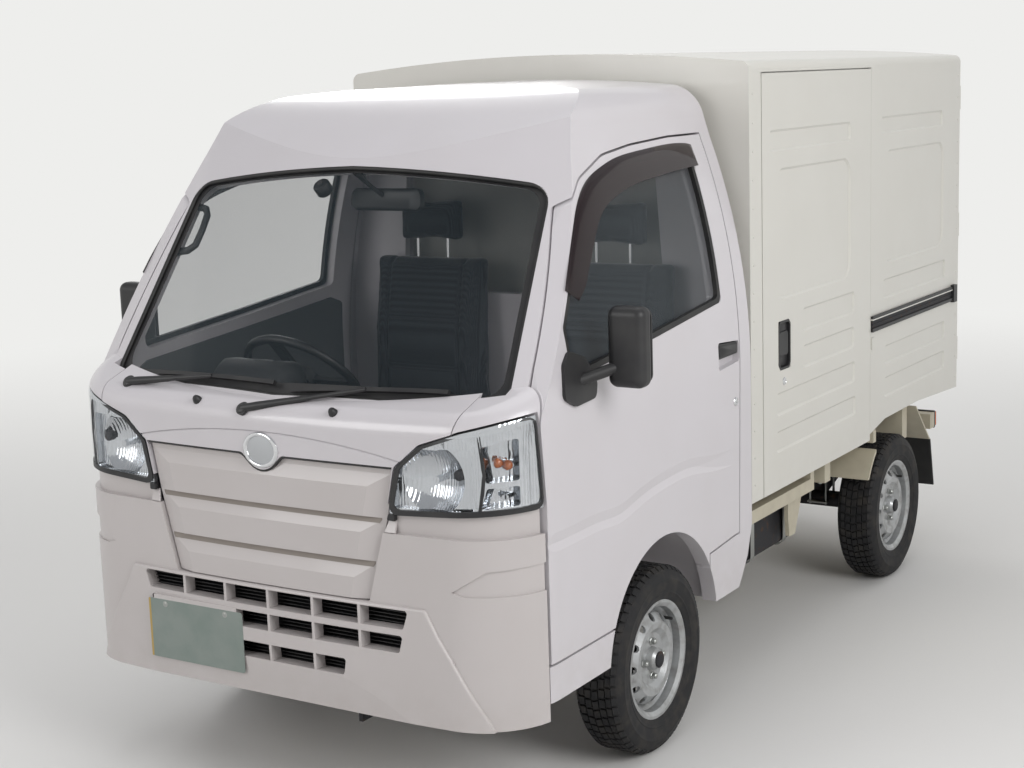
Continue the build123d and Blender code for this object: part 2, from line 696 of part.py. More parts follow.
def rim_at_origin():
    """A steel disc wheel, outer side towards +X, turned about X."""
    half = RIM_WIDTH / 2
    barrel = turned([
        (RIM_RADIUS, half), (RIM_RADIUS, half - 6), (RIM_RADIUS - 15, half - 12),
        (RIM_RADIUS - 17, half - 30), (138, half - 44), (138, half - 70), (RIM_RADIUS - 17, half - 84),
        (RIM_RADIUS - 15, 12 - half), (RIM_RADIUS, 6 - half), (RIM_RADIUS, -half), (RIM_RADIUS - 8, -half),
        (RIM_RADIUS - 21, 14 - half), (RIM_RADIUS - 21, half - 84), (132, half - 70), (132, half - 44),
        (RIM_RADIUS - 21, half - 30), (RIM_RADIUS - 19, half - 8), (RIM_RADIUS - 8, half)])
    face = WHEEL_FACE_OFFSET
    disc = turned([
        (34, face - 4), (72, face - 4), (86, face + 8), (104, face + 10), (128, face - 8), (133, face - 26),
        (132, face - 30), (126, face - 14), (103, face + 4), (88, face + 2), (74, face - 10), (34, face - 10)])
    for step in range(HOLE_COUNT):
        angle = radians(360 / HOLE_COUNT * step)
        hole = Pos(face - 40, HOLE_CIRCLE * sin(angle), HOLE_CIRCLE * cos(angle))
        disc -= hole * Rot(0, 90, 0) * Cylinder(HOLE_RADIUS, 160)
    hub = turned([(0, face + 20), (24, face + 20), (30, face + 12), (34, face - 4), (34, face - 10),
                  (60, face - 10), (60, HUB_BACK), (0, HUB_BACK)])
    return barrel + disc + hub


def tyre_at_origin():
    half = TYRE_WIDTH / 2
    return turned([
        (RIM_RADIUS, RIM_WIDTH / 2), (215, half), (TYRE_RADIUS - 14, half - 8), (TYRE_RADIUS, half - 24),
        (TYRE_RADIUS, 24 - half), (TYRE_RADIUS - 14, 8 - half), (215, -half), (RIM_RADIUS, -RIM_WIDTH / 2)])


WHEELS = [
    ("front_left", 1, TRACK_FRONT, FRONT_OVERHANG),
    ("front_right", -1, TRACK_FRONT, FRONT_OVERHANG),
    ("rear_left", 1, TRACK_REAR, FRONT_OVERHANG + WHEELBASE),
    ("rear_right", -1, TRACK_REAR, FRONT_OVERHANG + WHEELBASE),
]


def rear_axle():
    d = FRONT_OVERHANG + WHEELBASE
    tube = across(-600, 600, d, AXLE_HEIGHT, 30)
    tube += across(-60, 60, d, AXLE_HEIGHT, 95)
    drum = across(596, 660, d, AXLE_HEIGHT, 100)
    spring = side_prism([(d - 480, 420), (d, 330), (d + 480, 430), (d + 480, 418), (d + 200, 350),
                         (d, 292), (d - 200, 345), (d - 480, 408)], 400, 450)
    return tube + both_sides(drum + spring)


def propshaft():
    return rod((0, 1294, 350), (0, 2606, 285), 26)


def exhaust():
    pipe = rod((-200, 1291, 330), (-200, 2010, 300), 18)
    silencer = rod((-200, 2000, 300), (-200, 2420, 300), 55)
    tail = rod((-200, 2415, 300), (-260, 2560, 380), 17)
    return pipe + silencer + tail


def fuel_tank():
    tank = block(352, 590, 1600, 2040, 296, 440)
    return fillet(tank.edges(), 26)


# Cab interior
SEAT_X = 330.0


def seats():
    cushion = block(SEAT_X - 225, SEAT_X + 225, 760, 1200, RISER_TOP, 830)
    back = side_prism([(1150, 830), (1200, 830), (1312, 830), (1322, 1330), (1240, 1330)], SEAT_X - 220, SEAT_X + 220)
    rest = side_prism([(1250, 1330), (1322, 1330), (1320, 1500), (1262, 1500)], SEAT_X - 120, SEAT_X + 120)
    return both_sides(cushion + back + rest)


def dashboard():
    side = WIDTH / 2 - CAB_WALL
    form = side_prism([(139, 1010), (139, 760), (330, 700), (440, 820), (450, 980), (340, 1055), (190, 1055)],
                      -side, side)
    column = rod((-SEAT_X, 360, 800), (-SEAT_X, 560, 985), 28) + rod((-SEAT_X, 555, 980.4), (-SEAT_X, 580, 1003.5), 12)
    return (form & cab_form(CAB_WALL + 16)) + column


STEERING_CENTRE = (-330.0, 600.0, 1022.0)


def steering_wheel():
    slope = (0, 200 / sqrt(200**2 + 185**2), 185 / sqrt(200**2 + 185**2))
    x, d, z = STEERING_CENTRE
    plane = Plane(origin=(x, y_at(d), z), x_dir=(1, 0, 0), z_dir=slope)
    wheel = plane * Torus(180, 13)
    hub = plane * (Pos(0, 0, -8) * Cylinder(52, 36))
    spokes = plane * (Pos(0, 0, -6) * Box(350, 34, 14)) + plane * (Pos(0, -90, -6) * Box(34, 175, 14))
    return wheel + hub + spokes


# The mirror's base on the door's front corner, from the side
MIRROR_BASE = [(278, 1092), (286, 1175), (318, 1206), (392, 1180), (440, 1110), (430, 1072), (330, 1066)]
MIRROR_BASE_THICKNESS = 9.0


def mirror_left():
    """A rounded head on a short arm, on a thin base that follows the door."""
    head = fillet((Pos(829, y_at(452), 1202) * Box(104, 62, 204)).edges(), 24)
    arm = rod((716, 352, 1118), (812, 446, 1156), 15)
    base = side_layer(-MIRROR_BASE_THICKNESS, 0) & side_prism(MIRROR_BASE, 400, 900, 20)
    return (head + arm + base) - side_form(0)


# Each wiper: its spindle, then where its blade starts and ends across and up the glass
WIPERS = [((-58, 12, 1055), (60, 18), (500, 66)), ((-500, 62, 1087), (-440, 50), (0, 34))]
BLADE_HEIGHT = 11.0


def on_glass(x, up, lift):
    """A place on the bowed glass, at a height above it, as (x, distance, z)."""
    slope = radians(GLASS_SLOPE)
    back = GLASS_BOW_RADIUS - sqrt(GLASS_BOW_RADIUS**2 - x**2) - lift
    return (x, GLASS_BASE + up * cos(slope) + back * sin(slope), GLASS_BASE_HEIGHT + up * sin(slope) - back * cos(slope))


def wipers():
    """Spindle, arm and blade of both wipers, the blades bowed like the glass."""
    slope = radians(GLASS_SLOPE)
    origin = (0, y_at(GLASS_BASE), GLASS_BASE_HEIGHT)
    plane = Plane(origin=origin, x_dir=(1, 0, 0), z_dir=(0, -sin(slope), cos(slope)))
    layer = behind_glass(-15) - behind_glass(-3)
    pieces = None
    for (x, d, z), (x0, up0), (x1, up1) in WIPERS:
        half = BLADE_HEIGHT / 2
        strip = Polyline((x0, up0 - half), (x1, up1 - half), (x1, up1 + half), (x0, up0 + half), close=True)
        blade = extrude(plane * make_face(strip), amount=150, both=True) & layer
        post = rod((x, d + 20, z - 8), (x, d - 4, z + 4), 15)
        arm = rod((x, d, z + 6), on_glass((x0 + x1) / 2, (up0 + up1) / 2, 12), 6)
        piece = post + arm + blade
        pieces = piece if pieces is None else pieces + piece
    return pieces - OUTER


# Box body
SIDE_DOOR = (1502.0, 2418.0, 590.0, 1858.0)


def box_profile(inset):
    half = BOX_HALF - inset
    top = BOX_SIDE_TOP - inset
    crown = BOX_CROWN - inset
    foot = BOX_BOTTOM - (300 if inset else 0)
    bend = 26.0
    edges = [
        Line((half, foot), (half, top - bend)),
        ThreePointArc((half, top - bend), (half - 8, top - 8), (half - bend, top)),
        ThreePointArc((half - bend, top), (0, crown), (bend - half, top)),
        ThreePointArc((bend - half, top), (8 - half, top - 8), (-half, top - bend)),
        Line((-half, top - bend), (-half, foot)),
        Line((-half, foot), (half, foot)),
    ]
    return Plane.XZ * make_face(edges)


def box_solid(inset, d0, d1):
    return Pos(0, y_at(d0), 0) * extrude(box_profile(inset), amount=-(d1 - d0))


def box_body():
    body = box_solid(0, BOX_FRONT, REAR_DOOR_FACE - 10)
    body -= box_solid(BOX_WALL, BOX_FRONT + BOX_WALL, REAR_DOOR_FACE + 100)
    d0, d1, z0, z1 = SIDE_DOOR
    hole = block(BOX_HALF - 18, 800, d0, d1, z0 - 200, z1)
    hole += block(600, 800, d0 + 20, d1 - 20, z0 - 100, z1 - 20)
    body -= both_sides(hole)
    slant = side_prism([(2400, 500), (2400, 585), (2570, 617), (2915, 619), (3369, 595), (3400, 589), (3400, 500)],
                       600, 800)
    frame_rear = block(-BOX_HALF + 4, BOX_HALF - 4, REAR_DOOR_FACE - 70, REAR_DOOR_FACE - 46, 600, 1880)
    frame_rear -= block(-BOX_HALF + 50, BOX_HALF - 50, 3000, 3500, 640, 1830)
    doorway = block(8 - BOX_HALF, BOX_HALF - 8, REAR_DOOR_FACE - 45, REAR_DOOR_FACE + 10, 598, 1880)
    body -= both_sides(side_trays(QUARTER_TRAYS, BOX_HALF))
    body += both_sides(block(BOX_HALF - 4, BOX_HALF + 5, 2424, 2452, 888, 930))
    return body - both_sides(slant) - doorway + (frame_rear & box_solid(10, 3300, 3360))


def box_floor():
    side = BOX_HALF - BOX_WALL - 1
    deck = block(-side, side, BOX_FRONT + BOX_WALL + 1, REAR_DOOR_FACE - 72, BOX_FLOOR_TOP - 25, BOX_FLOOR_TOP)
    sills = None
    for x in (-610, -320, 320, 610):
        sill = block(x - 25, x + 25, BOX_FRONT + 40, REAR_DOOR_FACE - 80, BOX_BOTTOM + 24, BOX_FLOOR_TOP - 25)
        sills = sill if sills is None else sills + sill
    return deck + sills


# Trays pressed into the box's sheets: distances, heights and corner radius of each
TRAY_DEPTH = 6.0
TRAY_SLOPE = 50.0
DOOR_TRAYS = [
    (1561, 2226, 1619, 1685, 18), (1602, 2227, 1163, 1567, 60), (1811, 2264, 1039, 1115, 16),
    (1816, 2262, 920, 995, 16), (1604, 2270, 801, 874, 16), (1601, 2278, 685, 753, 16),
]
QUARTER_TRAYS = [
    (2517, 3174, 1630, 1690, 18), (2552, 3192, 1175, 1573, 60), (2542, 3223, 1050, 1121, 16),
    (2560, 3223, 812, 882, 16), (2560, 3223, 694, 767, 16),
]
REAR_TRAYS = [(90, 620, 1163, 1640, 60), (90, 620, 960, 1030, 16), (90, 620, 840, 910, 16), (90, 620, 720, 790, 16)]


def side_trays(rows, surface):
    """Trays in the left side, their walls sloping in."""
    trays = None
    for d0, d1, z0, z1, radius in rows:
        place = Plane(origin=(surface, y_at((d0 + d1) / 2), (z0 + z1) / 2), x_dir=(0, 1, 0), z_dir=(-1, 0, 0))
        tray = extrude(place * RectangleRounded(d1 - d0, z1 - z0, radius), amount=TRAY_DEPTH, taper=TRAY_SLOPE)
        trays = tray if trays is None else trays + tray
    return trays


def rear_trays():
    """Trays in the left leaf of the rear door."""
    trays = None
    for x0, x1, z0, z1, radius in REAR_TRAYS:
        place = Plane(origin=((x0 + x1) / 2, y_at(REAR_DOOR_FACE), (z0 + z1) / 2), x_dir=(1, 0, 0), z_dir=(0, -1, 0))
        tray = extrude(place * RectangleRounded(x1 - x0, z1 - z0, radius), amount=TRAY_DEPTH, taper=TRAY_SLOPE)
        trays = tray if trays is None else trays + tray
    return trays


def slide_door():
    d0, d1, z0, z1 = SIDE_DOOR
    panel = block(BOX_HALF - 18, BOX_HALF + 1, d0 + 4, d1 - 4, BOX_BOTTOM, z1 - 4)
    panel -= side_trays(DOOR_TRAYS, BOX_HALF + 1)
    handle = side_prism([(1620, 960), (1620, 1097), (1700, 1097), (1714, 1080), (1714, 942), (1634, 942)],
                        BOX_HALF - 8, BOX_HALF + 10, 4)
    return panel - handle


def slide_rail():
    rail = block(BOX_HALF, BOX_HALF + 9, 2421, 3331, 950, 1005)
    rail -= block(BOX_HALF + 3, BOX_HALF + 20, 2400, 3290, 962, 990)
    return rail + block(BOX_HALF, BOX_HALF + 14, 3292, 3331, 944, 1011)


def rear_door():
    face = REAR_DOOR_FACE
    panel = block(4, BOX_HALF - 10, face - 40, face, 605, 1872)
    barrel = None
    for z in (750, 1240, 1730):
        leaf = rod((BOX_HALF - 7, face, z - 45), (BOX_HALF - 7, face, z + 45), 6)
        barrel = leaf if barrel is None else barrel + leaf
    panel -= block(BOX_HALF - 13.2, 800, face - 6, face + 10, 560, 1900)
    return ((panel & box_solid(14, 3300, 3500)) - rear_trays()) + barrel


def rear_arch_apron():
    d = FRONT_OVERHANG + WHEELBASE
    sheet = across(550, 712, d, AXLE_HEIGHT, 322) - across(540, 730, d, AXLE_HEIGHT, 312)
    keep = block(540, 730, d - 330, d - 200, 420, 560)
    hanger = side_prism([(2952, 590), (2960, 590), (3122, 432), (3112, 432)], 570, 700)
    top = block(550, 712, d - 232, d - 205, 545, 590)
    return (sheet & keep) + top, hanger


def mud_flap():
    return side_prism([(3112, 431), (3122, 431), (3168, 240), (3160, 240)], 568, 702)


def rear_guard():
    beam = block(-640, 640, 3301, 3350, 430, 490)
    return beam


TOW_EYE_RADIUS = 14.0
TOW_PLATE = 12.0
TOW_EYES = [(230.0, 96.0, 278.0), (230.0, 3276.0, 396.0)]


def tow_eyes():
    """A drilled plate under the first and under the last cross member."""
    plates = None
    for (x, distance, z), top in zip(TOW_EYES, (CROSS_MEMBERS[0][1], CROSS_MEMBERS[-1][1])):
        plate = block(x - TOW_PLATE / 2, x + TOW_PLATE / 2, distance - 26, distance + 26, z - 28, top)
        plate -= across(x - 40, x + 40, distance, z, TOW_EYE_RADIUS)
        plates = plate if plates is None else plates + plate
    return plates


def tail_lamp():
    return block(470, 640, 3351, 3385, 425, 495)


save("frame", frame())
save("engine_block", engine_block())
save("front_suspension", front_suspension())
LEFT_KNUCKLE = knuckle()
save("knuckle_left", LEFT_KNUCKLE)
save("knuckle_right", mirror(LEFT_KNUCKLE, about=Plane.YZ))
save("rear_axle", rear_axle())
save("propshaft", propshaft())
save("exhaust", exhaust())
save("fuel_tank", fuel_tank())
RIM = rim_at_origin()
TYRE = tyre_at_origin()
for place, side, track, distance in WHEELS:
    for kind, shape in (("rim", RIM), ("tyre", TYRE)):
        left = Pos(track / 2, y_at(distance), AXLE_HEIGHT) * shape
        save(f"{kind}_{place}", left if side > 0 else mirror(left, about=Plane.YZ))

save("cab_shell", cab_shell())
save("cab_floor", cab_floor())
save("front_bumper", front_bumper())
save("front_garnish", front_garnish())
save("front_panel", front_panel())
glass_sheet = behind_glass(12) - behind_glass(12 + GLASS_THICKNESS)
save("windscreen", glass_sheet & windscreen_zone(0) & OUTER)
rear_glass_zone = front_prism(REAR_WINDOW_OUTLINE, CAB_REAR - 90, CAB_REAR + 20, 40)
rear_glass = block(-600, 600, CAB_REAR - 22, CAB_REAR - 17, 1100, 1700)
save("rear_window", rear_glass & rear_glass_zone)
LEFT_DOOR = cab_door()
LEFT_GLASS = side_layer(14, 14 + GLASS_THICKNESS) & WINDOW_ZONE
SLIDE_DOOR = slide_door()
REAR_DOOR = rear_door()
APRON, HANGER = rear_arch_apron()
HANDED = [
    ("cab_door", LEFT_DOOR),
    ("door_glass", LEFT_GLASS),
    ("headlamp", headlamp()),
    ("headlamp_lens", headlamp_lens()),
    ("mirror", mirror_left()),
    ("slide_door", SLIDE_DOOR),
    ("rear_door", REAR_DOOR),
]
for name, shape in HANDED:
    save(f"{name}_left", shape)
    save(f"{name}_right", mirror(shape, about=Plane.YZ))
save("seats", seats())
save("dashboard", dashboard())
save("steering_wheel", steering_wheel())
save("wipers", wipers())
save("box_body", box_body())
save("box_floor", box_floor())
save("slide_rails", both_sides(slide_rail()))
save("wheel_aprons", both_sides(APRON + HANGER))
save("mud_flaps", both_sides(mud_flap()))
save("rear_guard", rear_guard())
save("tail_lamps", both_sides(tail_lamp()))
save("tow_eyes", tow_eyes())
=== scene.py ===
# %% [markdown]
# # Kei truck with a steel panel-van box
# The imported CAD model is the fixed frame. This notebook adds what a viewer sees from a step
# away: paint, glass, rubber, lamps, tread, seals, handles and cushions. Every piece is placed
# by the truck's own sizes, so nothing has to be fitted by eye.

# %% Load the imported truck
import bpy
import bmesh
from math import acos, cos, exp, pi, radians, sin, sqrt, tan
from mathutils import Matrix, Vector


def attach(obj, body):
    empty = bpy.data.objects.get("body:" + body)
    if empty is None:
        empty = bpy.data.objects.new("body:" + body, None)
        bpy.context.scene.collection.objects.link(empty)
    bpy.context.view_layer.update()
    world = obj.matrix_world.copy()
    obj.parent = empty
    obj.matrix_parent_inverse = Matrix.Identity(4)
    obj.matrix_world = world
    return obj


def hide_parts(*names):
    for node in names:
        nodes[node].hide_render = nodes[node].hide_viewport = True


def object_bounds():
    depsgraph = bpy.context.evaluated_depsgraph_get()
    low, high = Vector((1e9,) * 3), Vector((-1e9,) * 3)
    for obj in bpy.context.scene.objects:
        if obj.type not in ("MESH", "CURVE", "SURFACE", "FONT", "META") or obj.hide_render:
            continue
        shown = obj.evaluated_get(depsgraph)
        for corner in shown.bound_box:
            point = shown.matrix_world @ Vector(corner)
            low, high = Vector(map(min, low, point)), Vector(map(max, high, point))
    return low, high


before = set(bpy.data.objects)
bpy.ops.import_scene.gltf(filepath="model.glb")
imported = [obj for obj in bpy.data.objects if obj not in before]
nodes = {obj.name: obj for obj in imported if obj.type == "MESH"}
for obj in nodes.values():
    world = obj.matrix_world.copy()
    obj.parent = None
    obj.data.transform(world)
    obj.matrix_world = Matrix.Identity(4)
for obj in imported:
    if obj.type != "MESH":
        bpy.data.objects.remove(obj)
CAD_LOW, CAD_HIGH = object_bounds()
MM = 0.001
print("CAD box", CAD_LOW, CAD_HIGH)

# %% [markdown]
# The truck faces -Y. A place is easiest to read as x, the distance behind the bumper and the
# height, all in millimetres, so one helper turns those three into Blender's metres.

# %% Places in millimetres
# The truck's sizes that the trim follows
HALF_WIDTH = 737.5
WAIST = 1000.0
SIDE_MIDDLE = (704.0, 1350.0)
SIDE_TOP = (613.0, 1675.0)
ROOF_LEAN = 19 / 60
GLASS_BASE = (67.0, 1085.0)
GLASS_SLOPE = radians(55.5)
GLASS_BOW = 2700.0
FRONT_FACE = 8.0
FRONT_BOW = 8034.0
CORNER = 200.0
CORNER_X = HALF_WIDTH - CORNER
CORNER_DISTANCE = FRONT_FACE + FRONT_BOW - sqrt((FRONT_BOW - CORNER) ** 2 - CORNER_X**2)
NOSE_RADIUS = 60.0
COWL_RISE = 0.35
FRONT_AXLE = 802.0
REAR_AXLE = 2702.0
AXLE_HEIGHT = 264.0
BOX_HALF = 719.0
BOX_FRONT = 1417.0
BOX_REAR = 3389.0
SIDES = (("left", 1), ("right", -1))
AHEAD, BACK, UP = (0, -1, 0), (0, 1, 0), (0, 0, 1)
ORIGIN = Vector((0, 0, 0))


def at(x, distance, z):
    """A point from x, the distance behind the front bumper and the height, in millimetres."""
    return Vector((x * MM, CAD_LOW.y + distance * MM, z * MM))


def circle_through(a, m, b):
    """Centre and radius of the circle through three points."""
    ax, ay, bx, by = a[0] - m[0], a[1] - m[1], b[0] - m[0], b[1] - m[1]
    cross = 2 * (ax * by - ay * bx)
    sa, sb = ax * ax + ay * ay, bx * bx + by * by
    centre = (m[0] + (by * sa - ay * sb) / cross, m[1] + (ax * sb - bx * sa) / cross)
    return centre, sqrt((a[0] - centre[0]) ** 2 + (a[1] - centre[1]) ** 2)


SIDE_CENTRE, SIDE_RADIUS = circle_through((HALF_WIDTH, WAIST), SIDE_MIDDLE, SIDE_TOP)


def side_x(z):
    """Half width of the cab's side at a height: upright to the waist, then an arc that leans in."""
    if z <= WAIST:
        return HALF_WIDTH
    if z <= SIDE_TOP[1]:
        return SIDE_CENTRE[0] + sqrt(SIDE_RADIUS**2 - (z - SIDE_CENTRE[1]) ** 2)
    return SIDE_TOP[0] - (z - SIDE_TOP[1]) * ROOF_LEAN


def front_distance(x):
    """How far back the cab's front face lies at a given x, with its two rounded corners."""
    if abs(x) <= FRONT_BOW * CORNER_X / (FRONT_BOW - CORNER):
        return FRONT_FACE + FRONT_BOW - sqrt(FRONT_BOW**2 - x**2)
    return CORNER_DISTANCE - sqrt(max(CORNER**2 - (abs(x) - CORNER_X) ** 2, 0))


def on_glass(x, up, lift=0.0):
    """A point on the bowed windscreen: x, the way up its slope and a lift off its surface."""
    sink = GLASS_BOW - sqrt(GLASS_BOW**2 - x**2) - lift
    distance = GLASS_BASE[0] + up * cos(GLASS_SLOPE) + sink * sin(GLASS_SLOPE)
    return at(x, distance, GLASS_BASE[1] + up * sin(GLASS_SLOPE) - sink * cos(GLASS_SLOPE))


print("side at 1350:", round(side_x(1350)), "front corner:", round(front_distance(700)))

# %% [markdown]
# A few small helpers serve every later cell. They link an object into the scene, turn a colour
# code into Blender's linear colour, add nodes with their sockets filled, and start a material.

# %% Object, colour and node helpers
def new_object(name, data):
    """An object for some data, linked into the scene."""
    obj = bpy.data.objects.new(name, data)
    bpy.context.scene.collection.objects.link(obj)
    return obj


def mesh_of(name, bm, smooth=None):
    """A mesh from a bmesh, which is freed, with smooth shading up to an angle in degrees."""
    mesh = bpy.data.meshes.new(name)
    bm.to_mesh(mesh)
    bm.free()
    if smooth is not None:
        mesh.shade_smooth()
        mesh.set_sharp_from_angle(angle=radians(smooth))
    return mesh


def linear(code, alpha=1.0):
    """An sRGB hex colour as the linear colour that Blender's sockets take."""
    values = [int(code[i:i + 2], 16) / 255 for i in (1, 3, 5)]
    return [v / 12.92 if v <= 0.04045 else ((v + 0.055) / 1.055) ** 2.4 for v in values] + [alpha]


def add(tree, kind, links=None, **settings):
    """Add a node, set its properties, then fill or link its sockets."""
    node = tree.nodes.new(kind)
    for name, value in settings.items():
        setattr(node, name, value)
    for socket, value in (links or {}).items():
        if isinstance(value, bpy.types.NodeSocket):
            tree.links.new(value, node.inputs[socket])
        else:
            node.inputs[socket].default_value = value
    return node


def reckon(tree, operation, first, second):
    """One step of arithmetic in a node tree."""
    return add(tree, "ShaderNodeMath", {0: first, 1: second}, operation=operation).outputs[0]


def own_place(tree):
    """The place on the object itself."""
    return add(tree, "ShaderNodeTexCoord").outputs["Object"]


def stepped(tree, value, low, high, start=0.0, end=1.0, **settings):
    """Spread a part of a value's range over the range that is wanted."""
    inputs = {"Value": value, "From Min": low, "From Max": high, "To Min": start, "To Max": end}
    return add(tree, "ShaderNodeMapRange", inputs, **settings).outputs["Result"]


def finish(name, colour, roughness, **sockets):
    """A new material with its shader's own sockets set."""
    material = bpy.data.materials.new(name)
    material.use_nodes = True
    shader = material.node_tree.nodes["Principled BSDF"]
    shader.inputs["Base Color"].default_value = linear(colour)
    shader.inputs["Roughness"].default_value = roughness
    for socket, value in sockets.items():
        shader.inputs[socket.replace("_", " ")].default_value = value
    return material


# %% [markdown]
# The camera stands where the photographer stood. Its place and its three turns were worked out
# from the wheels, the box's edges and mirrored points on the front, and its lens from the same
# fit. A studio needs a pale floor that runs up into a pale wall, so that no horizon shows.

# %% Camera
CAMERA_PLACE = Vector((2.8417, -4.9727, 1.8758))
CAMERA_YAW = radians(-32.349)
CAMERA_PITCH = radians(10.167)
CAMERA_ROLL = radians(-1.887)
CAMERA_LENS = 60.74

ahead = Vector((sin(CAMERA_YAW) * cos(CAMERA_PITCH),
                cos(CAMERA_YAW) * cos(CAMERA_PITCH), -sin(CAMERA_PITCH)))
level = Vector((cos(CAMERA_YAW), -sin(CAMERA_YAW), 0))
upward = level.cross(ahead)
across = level * cos(CAMERA_ROLL) + upward * sin(CAMERA_ROLL)
over = upward * cos(CAMERA_ROLL) - level * sin(CAMERA_ROLL)
turn = Matrix((across, over, -ahead)).transposed().to_4x4()
camera_data = bpy.data.cameras.new("photo_camera")
camera_data.lens = CAMERA_LENS
camera_data.sensor_width = 36
camera_data.clip_end = 100
camera = new_object("photo_camera", camera_data)
camera.matrix_world = Matrix.Translation(CAMERA_PLACE) @ turn
bpy.context.scene.camera = camera

# %% Studio
FLOOR_COLOUR = "#E4E3E1"
WALL_COLOUR = "#EEEEEC"
STUDIO_RADIUS = 11.0
STUDIO_BEND = 3.0
STUDIO_HEIGHT = 9.0
BEND_STEPS = 12
GLOW_START, GLOW_FULL = 2.2, 8.0


def studio_mesh():
    """A floor disc that bends up into a round wall, as a photo studio's cove does."""
    profile = [(0.0, 0.0), (STUDIO_RADIUS, 0.0)]
    for step in range(1, BEND_STEPS + 1):
        angle = radians(90 * step / BEND_STEPS)
        profile.append((STUDIO_RADIUS + STUDIO_BEND * sin(angle), STUDIO_BEND * (1 - cos(angle))))
    profile.append((STUDIO_RADIUS + STUDIO_BEND, STUDIO_HEIGHT))
    bm = bmesh.new()
    verts = [bm.verts.new((r, 0, z)) for r, z in profile]
    edges = [bm.edges.new(pair) for pair in zip(verts, verts[1:])]
    bmesh.ops.spin(bm, geom=verts + edges, axis=UP, cent=(0, 0, 0), steps=96, angle=2 * pi)
    bmesh.ops.remove_doubles(bm, verts=bm.verts, dist=1e-5)
    mesh = mesh_of("studio_floor", bm)
    mesh.shade_smooth()
    return mesh


floor_paint = finish("matt_studio_paint", FLOOR_COLOUR, 0.85, Specular_IOR_Level=0.2)
floor_tree = floor_paint.node_tree
# Seen directly, in a gloss or through glass, the far floor and the wall glow a pale grey. The
# floor near the truck doesn't, so it keeps the shadow.
rays = add(floor_tree, "ShaderNodeLightPath").outputs
seen = reckon(floor_tree, "MAXIMUM", rays["Is Camera Ray"], rays["Is Glossy Ray"])
seen = reckon(floor_tree, "MAXIMUM", seen, rays["Is Transmission Ray"])
away = add(floor_tree, "ShaderNodeVectorMath", {0: own_place(floor_tree)}, operation="LENGTH")
climb = stepped(floor_tree, away.outputs["Value"], GLOW_START, GLOW_FULL, interpolation_type="SMOOTHSTEP")
share = reckon(floor_tree, "MULTIPLY", seen, climb)
paint = floor_tree.nodes["Principled BSDF"].outputs["BSDF"]
glow = add(floor_tree, "ShaderNodeEmission", {"Color": linear(WALL_COLOUR), "Strength": 1.0})
mixed = add(floor_tree, "ShaderNodeMixShader", {0: share, 1: paint, 2: glow.outputs[0]}).outputs[0]
floor_tree.links.new(mixed, floor_tree.nodes["Material Output"].inputs["Surface"])
studio = new_object("studio_floor", studio_mesh())
studio.data.materials.append(floor_paint)

world = bpy.data.worlds.new("pale_room")
world.use_nodes = True
room = world.node_tree.nodes["Background"]
room.inputs["Color"].default_value = linear("#F4F5F7")
room.inputs["Strength"].default_value = 0.55
bpy.context.scene.world = world
bpy.context.scene.view_settings.view_transform = "Standard"

# The lamps: name, place, what they aim at, size in metres and power in watts
LAMPS = [
    ("key_softbox", (5.4, -2.6, 3.6), (0, 0, 0.9), 3.4, 170),
    ("front_softbox", (-2.6, -6.4, 3.2), (0, -1.2, 0.9), 3.0, 92),
    ("overhead_softbox", (0, 0.5, 6.0), (0, 0, 0), 5.0, 62),
    ("rear_softbox", (-4.6, 5.2, 4.0), (0, 0.6, 0.9), 3.2, 130),
]
for name, place, target, size, power in LAMPS:
    light = bpy.data.lights.new(name, "AREA")
    light.shape = "DISK"
    light.size = size
    light.energy = power
    aim = (Vector(target) - Vector(place)).to_track_quat("-Z", "Y")
    new_object(name, light).matrix_world = Matrix.Translation(place) @ aim.to_matrix().to_4x4()

# %% [markdown]
# ## Finishes
# Each finish starts from what the real one is and how it was made. Colours are sRGB, pattern
# sizes are millimetres, and the pattern's scale is worked out from them. Road film and stone
# dust gather low on a working truck, so the painted finishes share one recipe for grime.

# %% Finish helpers
def pattern(tree, size_mm, detail=3.0, stretch=(1, 1, 1)):
    """A cloudy pattern whose clouds are about the given size."""
    scaled = add(tree, "ShaderNodeMapping", {"Vector": own_place(tree), "Scale": stretch}).outputs["Vector"]
    cloud = {"Vector": scaled, "Scale": 1 / (size_mm * MM), "Detail": detail}
    return add(tree, "ShaderNodeTexNoise", cloud).outputs["Fac"]


def waves(tree, scale, distortion=0.0, direction="X"):
    """Even ribs across one direction."""
    ribs = {"Vector": own_place(tree), "Scale": scale, "Distortion": distortion}
    return add(tree, "ShaderNodeTexWave", ribs, bands_direction=direction).outputs["Fac"]


def blended(tree, amount, first, second):
    """Two colours mixed by an amount."""
    return add(tree, "ShaderNodeMix", {0: amount, 6: first, 7: second}, data_type="RGBA").outputs[2]


def relief(material, height, distance_mm, strength=0.5):
    """Give a finish a bump of a real depth."""
    tree = material.node_tree
    bump = add(tree, "ShaderNodeBump", {"Height": height, "Distance": distance_mm * MM, "Strength": strength})
    into(material, "Normal", bump.outputs["Normal"])


def rough_skin(material, size_mm, detail, distance_mm, strength):
    """A bump in the form of a cloudy pattern."""
    relief(material, pattern(material.node_tree, size_mm, detail), distance_mm, strength)


def into(material, socket, value):
    """Link a value into one of the shader's sockets."""
    material.node_tree.links.new(value, material.node_tree.nodes["Principled BSDF"].inputs[socket])


def clouded(material, first, second, size_mm, detail, low, high, share=1.0):
    """Let the colour drift in clouds from the first to a share of the second."""
    tree = material.node_tree
    amount = stepped(tree, pattern(tree, size_mm, detail), low, high, 0.0, share)
    into(material, "Base Color", blended(tree, amount, linear(first), linear(second)))
    return amount


